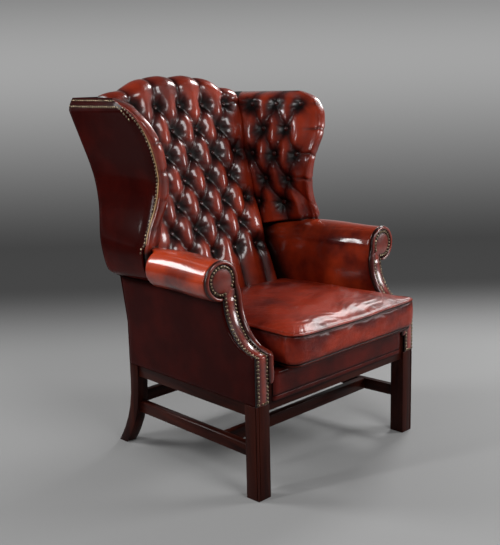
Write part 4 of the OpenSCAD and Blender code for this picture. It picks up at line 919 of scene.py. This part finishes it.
nail_pitch = 0.0108
arm_nail_spots = []
zs = np.concatenate([[0.275], np.linspace(0.280, curve_high - 0.006, 120)])
for u in (-strip_wide + 0.0052, -0.0052):
    for spot in along_line(np.stack([np.full(len(zs), u), front_v(zs), zs], -1), nail_pitch):
        tilt_z = (front_v(spot[2] + 0.003) - front_v(spot[2] - 0.003)) / 0.006
        arm_nail_spots.append((spot, (0, -1, tilt_z)))
arm_nail_spots += [((u, 0, 0.2745), (0, -1, 0)) for u in (-0.0285, -0.0185)]
round_scroll = np.radians(np.linspace(206, -106, 140))
ring_line = np.stack([arm_out + 0.0385 * np.cos(round_scroll), np.full(140, scroll_back - 0.0004),
                      roll_z + 0.0385 * np.sin(round_scroll)], -1)
arm_nail_spots += [(spot, (0, -1, 0)) for spot in along_line(ring_line, 0.0102)]
placed = [(arm_place(*spot), arm_place(*np.add(spot, way)) - arm_place(*spot))
          for spot, way in arm_nail_spots]
both_sides(set_out, "arm_nail_row_", "arm_nails_", nail, placed, nail_brass, "antique_brass", 0.06)


def on_wing(y, z, proud):
    """A nail's place on the outside wing, a little proud of its skin."""
    xf, yf = wing_edge_x(z), wing_edge_y(z)
    x = xf + (wing_rear_x(z) - xf) * (y - yf) / (wing_skin_y(z) - yf) + proud - wing_roll_in(y, z)
    return np.stack(np.broadcast_arrays(x, y, z), -1)


wing_nail_spots = []
for from_edge, low_z, from_top, steps, rear_z in ((0.0066, 0.640, 0.0085, 120, 1.066),
                                                  (0.0235, 1.015, 0.026, 20, 1.05)):
    zs = np.linspace(low_z, wing_top - from_top, steps)
    ys = wing_edge_y(zs) + from_edge
    top_y = np.linspace(ys[-1], wing_skin_y(rear_z) - 0.006, 40)[1:]
    line = np.concatenate([on_wing(ys, zs, 0.0004), on_wing(top_y, wing_top - from_top, 0.0010)])
    for x, y, z in along_line(line, nail_pitch):
        lift = (wing_edge_x(z + 0.004) - wing_edge_x(z - 0.004)) / 0.008
        lift -= (wing_roll_in(y, z + 0.003) - wing_roll_in(y, z - 0.003)) / 0.006
        lean = (wing_edge_x(z) - wing_rear_x(z)) / 0.3
        lean -= (wing_roll_in(y - 0.003, z) - wing_roll_in(y + 0.003, z)) / 0.006
        wing_nail_spots.append(((x, y, z), (1, lean, -lift)))
both_sides(set_out, "wing_nail_row_", "wing_nails_", nail, wing_nail_spots, nail_brass, "antique_brass", 0.06)
bpy.data.objects.remove(nail)

# The front border: hide over a thin pad on the front rail, rounded over at the deck, with a line
# drawn in above its lower edge where the welt covers the tacks.
border_half = arm_x - strip_wide - 0.020 - math.sin(side_angle) * 0.035 - 0.0004
profile = np.array([
    (0.0004, 0.2684), (0.0000, 0.272), (-0.0010, 0.276), (-0.0012, 0.281), (0.0016, 0.2835),
    (-0.0012, 0.286), (-0.0026, 0.292), (-0.0034, 0.305), (-0.0034, 0.325), (-0.0026, 0.340),
    (-0.0004, 0.350), (0.0050, 0.3565), (0.0120, 0.3582), (0.0330, 0.3578), (0.0340, 0.3500),
    (0.0340, 0.2684)])
rows, cols = len(profile), 61
share, y, z = np.linspace(-1, 1, cols)[None], profile[:, :1], profile[:, 1:]
ends = np.where(y > 0.0335, 1, rounded((1 - np.abs(share)) / 0.03))
border_rows = np.stack(np.broadcast_arrays(
    share * border_half, leg_y + y * (0.4 + 0.6 * ends) + 0.002 * (1 - ends), z), -1)
border_faces = patch_faces(rows, cols) + [((rows - 1) * cols + c, (rows - 1) * cols + c + 1, c + 1, c)
                                          for c in range(cols - 1)]
border_faces += [tuple(r * cols + c for r in range(rows)) for c in (0, cols - 1)]
# Painted shade in the drawn-in line, along the lower edge and where the top rounds in under the cushion.
border_painted_shade = np.repeat([0.6, 0.3, 0.1, 0.2, 0.9, 0.2, 0.05, 0, 0, 0, 0.1, 0.6, 1, 1, 1, 1], cols)
border_hide = hide_finish("border_hide", (0.14, 0.0095, 0.0045), (0.036, 0.0030, 0.0020), 0.4, 0.15, 0.2,
                          0.0006, 0.20, sheen=0.05)
cover("front_border_cover", ["front_border"], border_rows, border_faces, border_painted_shade, 0.1, border_hide,
      "leather", fill=0.6)

# The seat cushion: a zipped hide cover over foam wrapped in down, a top and a bottom panel top-stitched
# to a boxing strip. It has settled: the top dips and creases, the sides are drawn in, the front droops.
cushion_low, cushion_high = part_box("cushion_cover")
seat_front, seat_rear = cushion_low[1] + 0.0020, cushion_high[1] - 0.0015
seat_bottom, seat_long = cushion_low[2] + 0.0004, seat_rear - seat_front


def seat_outline(count):
    """Plan of the cushion from the middle of its rear, round its four rounded corners."""
    rear_x, rear_r, front_x, front_r = 0.2500, 0.024, 0.2725, 0.040
    line = [(0.0, seat_rear)]
    line += [(rear_x - rear_r + rear_r * math.sin(a), seat_rear - rear_r + rear_r * math.cos(a))
             for a in np.linspace(0, math.pi / 2, 16)]
    line += [(front_x - front_r + front_r * math.cos(a), seat_front + front_r - front_r * math.sin(a))
             for a in np.linspace(0, math.pi / 2, 22)]
    line = np.array(line + [(-x, y) for x, y in line[::-1]])
    far = run_length(line)
    x, y = (np.interp(np.linspace(0, far[-1], count, endpoint=False), far, line[:, i]) for i in (0, 1))
    ear = hump(np.hypot(x - front_x, y - seat_front), 0.034)
    return np.stack([x + lean_over(y) + 0.013 * ear, y - 0.004 * ear], -1)


def lean_over(y):
    """How far the cushion has slid over towards its right front corner."""
    return 0.007 * np.clip(1 - (y - seat_front) / 0.20, 0, 1)


def rumple(x, y, spots, size, wave, seed):
    """Soft dents and creases that fade out around a few places."""
    rng = np.random.default_rng(seed)
    height = np.zeros(np.broadcast(x, y).shape)
    for cx, cy, way in spots:
        way = math.radians(way + rng.uniform(-14, 14))
        across_fold = (x - cx) * math.cos(way) + (y - cy) * math.sin(way)
        along_fold = -(x - cx) * math.sin(way) + (y - cy) * math.cos(way)
        bend = across_fold + 0.25 * size * np.sin(along_fold / size * 1.7 + rng.uniform(0, 6))
        fade = np.exp(-(across_fold / size) ** 2 - (along_fold / (1.6 * size)) ** 2)
        height += fade * np.cos(bend / wave * 6.28 + rng.uniform(0, 6))
    return height


around = 520
plan = seat_outline(around)
plan_x, plan_y = plan.T
middle_of_seat = np.array([0.0, (seat_front + seat_rear) / 2])
step = np.roll(plan, -1, 0) - np.roll(plan, 1, 0)
out_way = unit(np.stack([-step[:, 1], step[:, 0]], -1))
out_way *= np.sign((out_way * (plan - middle_of_seat)).sum(1))[:, None]
front_share = np.clip(1 - np.abs(plan_x) / 0.27, 0, 1)
to_front_corner = np.hypot(np.abs(plan_x) - 0.262, plan_y - seat_front - 0.010)
to_rear_corner = np.hypot(np.abs(plan_x) - 0.244, plan_y - seat_rear + 0.006)
corner_near = hump(np.minimum(to_front_corner, to_rear_corner), 0.050)
at_front = ease_in((seat_front + 0.05 - plan_y) / 0.04)
drawn = 0.0065 * np.sin(math.pi * np.clip((plan_y - seat_front) / seat_long, 0, 1)) ** 0.8 * (1 - at_front)
drawn += 0.0015 * at_front * front_share ** 0.5
rng = np.random.default_rng(23)
run_round = np.linspace(0, 2 * math.pi, around, endpoint=False)
pucker = sum(rng.uniform(0.5, 1) * np.sin(n * run_round + rng.uniform(0, 6.28)) for n in
             (23, 38, 47, 71, 88, 131, 163, 191, 227)) / 3.2 * (0.55 + 1.1 * corner_near)
droop = (0.0065 * np.sin(math.pi * front_share * 0.5) ** 1.2 + 0.0009 * np.sin(
    plan_x / 0.031 + 0.7)) * at_front
seat_rings, seat_painted_shade, seat_worn = [], [], []


def drawn_plan(out):
    return plan + out_way * (out - drawn)[:, None]


def seat_ring(ring, up, mark, rub):
    seat_rings.append(np.column_stack([ring, seat_bottom + up + np.zeros(around)]))
    seat_painted_shade.append(np.broadcast_to(mark, (around,)))
    seat_worn.append(np.broadcast_to(rub, (around,)))


# Painted shade under the cushion, deepest in its tucked-in bottom seam.
for share_in in (0.02, 0.3, 0.6, 0.85, 0.97):
    seat_ring(middle_of_seat + (drawn_plan(-0.006) - middle_of_seat) * share_in, 0.0, 0.3, 0.0)
for out, ragged, up, mark, rub in (
        (-0.0105, 0, 0.0006, 0.9, 0.0), (-0.0082, 0, 0.0030, 0.7, 0.1), (-0.0074, 0, 0.0058, 0.6, 0.2),
        (-0.0080, 0, 0.0084, 0.8, 0.0), (-0.0096, 0.0003, 0.0098, 1.0, 0.0)):
    seat_ring(drawn_plan(out + ragged * pucker), up, mark, rub)
box_rows = 26
for k in range(1, box_rows):
    t = k / box_rows
    bulge = (1 - (2 * t - 1) ** 4) ** 0.8
    bulge = (bulge if t < 0.5 else 0.5 + 0.5 * bulge) * (0.0060 + 0.0045 * at_front * (1 - corner_near))
    near_seam = math.exp(-(t / 0.16) ** 2) + 1.25 * math.exp(-((1 - t) / 0.22) ** 2)
    height_up = 0.098 * t
    folds = rumple(plan_x, height_up, [(-0.235, 0.075, 130), (-0.17, 0.03, 75), (-0.06, 0.06, 100),
                                       (0.05, 0.035, 60), (0.15, 0.07, 115), (0.23, 0.05, 80)],
                   0.040, 0.072, 4) * at_front
    fine_folds = rumple(plan_x, height_up, [(-0.20, 0.08, 110), (-0.13, 0.085, 70), (-0.03, 0.082, 95),
                                            (0.03, 0.05, 120), (0.10, 0.084, 80), (0.19, 0.080, 60),
                                            (-0.10, 0.02, 100), (0.12, 0.02, 75)],
                        0.026, 0.026, 14) * at_front
    folds_side = rumple(plan_y, height_up, [(-0.34, 0.05, 30), (-0.24, 0.04, 60), (-0.12, 0.06, 100),
                                            (0.0, 0.05, 80), (0.08, 0.04, 50)],
                        0.040, 0.060, 6) * (1 - at_front)
    out = bulge - 0.0042 - 0.0052 * math.exp(-t / 0.10) + 0.0007 * pucker * near_seam
    out += 0.0016 * folds + 0.0006 * fine_folds + 0.0012 * folds_side
    crease = 0.6 * folds + 0.6 * fine_folds
    shade = 0.6 * max(near_seam - 0.40, 0) + 0.12 * np.clip(-crease, 0, 1) * at_front
    seat_ring(drawn_plan(out), 0.0102 + 0.0800 * t - droop * t, np.clip(shade, 0, 1),
              0.30 * math.sin(math.pi * t))
# Painted shade in the top seam, fading onto the rounded edge of the top panel.
for out, ragged, up, sunk, mark, rub in (
        (-0.0036, 0.0003, 0.0904, 1, 1.0, 0.0), (-0.0006, 0.0004, 0.0908, 1, 0.8, 0.1),
        (0.0012, 0.0005, 0.0922, 1, 0.3, 0.3), (0.0008, 0.0006, 0.0944, 1, 0.1, 0.4),
        (-0.0014, 0.0007, 0.0964, 1, 0.0, 0.5), (-0.0060, 0.0008, 0.0984, 0.98, 0.0, 0.5)):
    seat_ring(drawn_plan(out + ragged * pucker), up - droop * sunk, mark, rub)
stitch_ring = seat_rings[-1]
crown_rows, fine_depth = 64, 0.00045
inner_plan = drawn_plan(-0.0060)
for k in range(1, crown_rows + 1):
    ring = middle_of_seat + (inner_plan - middle_of_seat) * (1 - (k / crown_rows) ** 1.15)
    x, y = ring.T
    from_edge = np.linalg.norm(inner_plan - ring, axis=1)
    wide = 0.2500 + 0.0225 * (seat_rear - y) / seat_long
    from_side = np.clip(wide - 0.010 - np.abs(x - lean_over(y)), 0, 1)
    from_end = np.clip(np.minimum(y - seat_front, seat_rear - y) - 0.007, 0, 1)
    rise = 0.0300 * (1 - np.exp(-from_side / 0.050)) * (1 - np.exp(-from_end / 0.050))
    rise *= 1 - np.exp(-from_edge / 0.008)
    seated = -0.0075 * np.exp(-(x / 0.15) ** 2 - ((y + 0.15) / 0.16) ** 2)
    pulls = 0.0011 * pucker * np.exp(-from_edge / 0.020)
    soft = 0.0016 * rumple(x, y, [
        (-0.12, -0.20, 20), (0.10, -0.10, 70), (0.0, -0.28, 100), (0.14, -0.30, 150), (-0.18, 0.02, 60),
        (0.03, 0.04, 10)], 0.085, 0.105, 3)
    fine = fine_depth * rumple(x, y, [
        (-0.20, -0.34, 50), (-0.10, -0.35, 80), (0.02, -0.34, 95), (0.12, -0.35, 110), (0.22, -0.33, 130),
        (-0.16, -0.22, 35), (0.17, -0.20, 150), (0.04, -0.20, 80), (-0.06, -0.10, 20), (0.10, 0.02, 60),
        (-0.17, 0.05, 120), (0.21, 0.03, 40)], 0.042, 0.021, 9)
    up = 0.0984 + rise + seated + pulls + soft * (1 - math.exp(-from_edge.mean() / 0.03)) + fine
    shade = 0.16 * np.clip(-fine / fine_depth, 0, 1) + 0.25 * np.clip(-pulls / 0.0015, 0, 1)
    seat_ring(ring, up - droop * 0.9 * np.exp(-from_edge / 0.055), np.clip(shade, 0, 1),
              0.30 + 0.35 * hump(y + 0.30, 0.10) + 0.15 * np.clip(fine / fine_depth, 0, 1))
cover("seat_cushion_cover", ["cushion_cover"], seat_rings, patch_faces(len(seat_rings), around, wrap=True),
      seat_painted_shade, seat_worn, seat_hide, "leather", fill=0.7, body="seat_cushion")

# Top stitching: waxed thread a little inside the seam, all the way round the upper panel. Its stitches
# are just under four millimetres long, one to every five, and lie on the hide with their ends drawn in.
thread, tree, surface = new_finish("waxed_thread")
twist = noise(object_place(tree), 900, 2)
feed(surface, {"Base Color": ramp(twist, (0, (0.030, 0.008, 0.006)), (1, (0.11, 0.030, 0.020))),
               "Roughness": 0.6})
stitch_line = along_line(np.vstack([stitch_ring, stitch_ring[:1]]), 0.0048)[:-1]
stitch_way = unit(np.roll(stitch_line, -1, 0) - np.roll(stitch_line, 1, 0))
stitch_points, stitch_faces = [], []
for i, (spot, way) in enumerate(zip(stitch_line, stitch_way)):
    side = unit(np.cross(way, (0, 0, 1)))
    for along_stitch, thick in ((-0.0019, 0.35), (-0.0010, 1.0), (0.0010, 1.0), (0.0019, 0.35)):
        for turned in (0, 2.094, 4.189):
            off_centre = side * math.sin(turned) + np.array((0, 0, 1.0)) * math.cos(turned)
            stitch_points.append(spot + way * along_stitch + (0, 0, 0.0002) + 0.00042 * thick * off_centre)
    start = 12 * i
    stitch_faces += patch_faces(4, 3, wrap=True, start=start)
    stitch_faces += [(start + 2, start + 1, start), (start + 9, start + 10, start + 11)]
cover("seat_top_stitching", [], stitch_points, stitch_faces, 0.0, 0.0, thread, "leather", body="seat_cushion")

# Inside and under the cushion: foam, the zip with its brass slider, the deck cloth over the springs,
# the springs themselves, the webbing of the back, and the black cloth under the seat.
def worked(name, low_tone, high_tone, scale, stretch, rough, metal, depth):
    """A plain working material with a fine woven, drawn or cellular texture."""
    made, tree, surface = new_finish(name)
    fibre = noise(object_place(tree, stretch), scale, 5)
    feed(surface, {"Base Color": ramp(fibre, (0.35, low_tone), (0.65, high_tone)), "Roughness": rough,
                   "Normal": bumped(fibre, 0.5, depth), "Metallic": metal})
    return made


black_cloth = worked("black_cloth", (0.012, 0.011, 0.011), (0.045, 0.041, 0.040),
                     1500, (1, 1, 0.3), 0.9, 0.0, 0.0003)
deck_cloth = worked("deck_cloth", (0.030, 0.012, 0.010), (0.075, 0.028, 0.022),
                    1300, (1, 0.4, 1), 0.9, 0.0, 0.0003)
jute = worked("jute_web", (0.36, 0.28, 0.17), (0.66, 0.55, 0.38), 900, (1, 1, 0.25), 0.85, 0.0, 0.0005)
cut_foam = worked("cut_foam", (0.60, 0.52, 0.32), (0.86, 0.80, 0.60), 700, (1, 1, 1), 0.95, 0.0, 0.0008)
blued_steel = worked("blued_steel", (0.10, 0.11, 0.13), (0.24, 0.25, 0.28),
                     300, (1, 0.1, 1), 0.35, 1.0, 0.0001)
core_rings = []
for inset, up, keep in (
        (0.020, 0.0030, 0.02), (0.020, 0.0030, 1.0), (0.0165, 0.0050, 1.0), (0.0125, 0.0120, 1.0),
        (0.0115, 0.0820, 1.0), (0.0140, 0.0885, 1.0), (0.022, 0.0905, 1.0), (0.022, 0.0905, 0.02)):
    ring = middle_of_seat + (drawn_plan(-inset) - middle_of_seat) * keep
    core_rings.append(np.column_stack([ring, seat_bottom + up - droop * min(up / 0.09, 1)])[::4])
cover("cushion_foam", ["cushion_core"], core_rings, patch_faces(len(core_rings), around // 4, wrap=True), 0.0,
      0.0, cut_foam, "foam", fill=0.9, body="seat_cushion")
for node, finish in (("zip_tape", black_cloth), ("zip_slider", nail_brass), ("dust_cover", black_cloth),
                     ("back_webbing", jute), ("seat_springs", blued_steel), ("spring_clips", blued_steel)):
    node_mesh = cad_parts[node].data
    for index in range(len(node_mesh.materials)):
        node_mesh.materials[index] = finish
    if not node_mesh.materials:
        node_mesh.materials.append(finish)
deck_low, deck_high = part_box("deck_pad")
rows, cols = 41, 45
back_share, x_share = np.meshgrid(np.linspace(0, 1, rows), np.linspace(-1, 1, cols), indexing="ij")
deck_x = x_share * ((deck_high[0] - 0.0006) + (0.2500 - deck_high[0]) * back_share)
deck_y = deck_low[1] + 0.0006 + (deck_high[1] - deck_low[1] - 0.0012) * back_share
deck_top = deck_high[2] - 0.0030 + 0.0024 * rounded_edges(rows, cols, 0.04, 0.04)
deck_top = deck_top + 0.0004 * np.sin(x_share * 9 * math.pi)
deck_top = deck_top - 0.0012 * np.sin(math.pi * back_share) * np.cos(math.pi * x_share / 2)
outer, inner = (np.stack([deck_x, deck_y, z], -1) for z in (
    deck_top, np.full((rows, cols), deck_low[2] + 0.0004)))
deck_cover = panelled("deck_cover", ["deck_pad"], outer, inner, deck_cloth, 0.0, 0.0, fill=0.7)
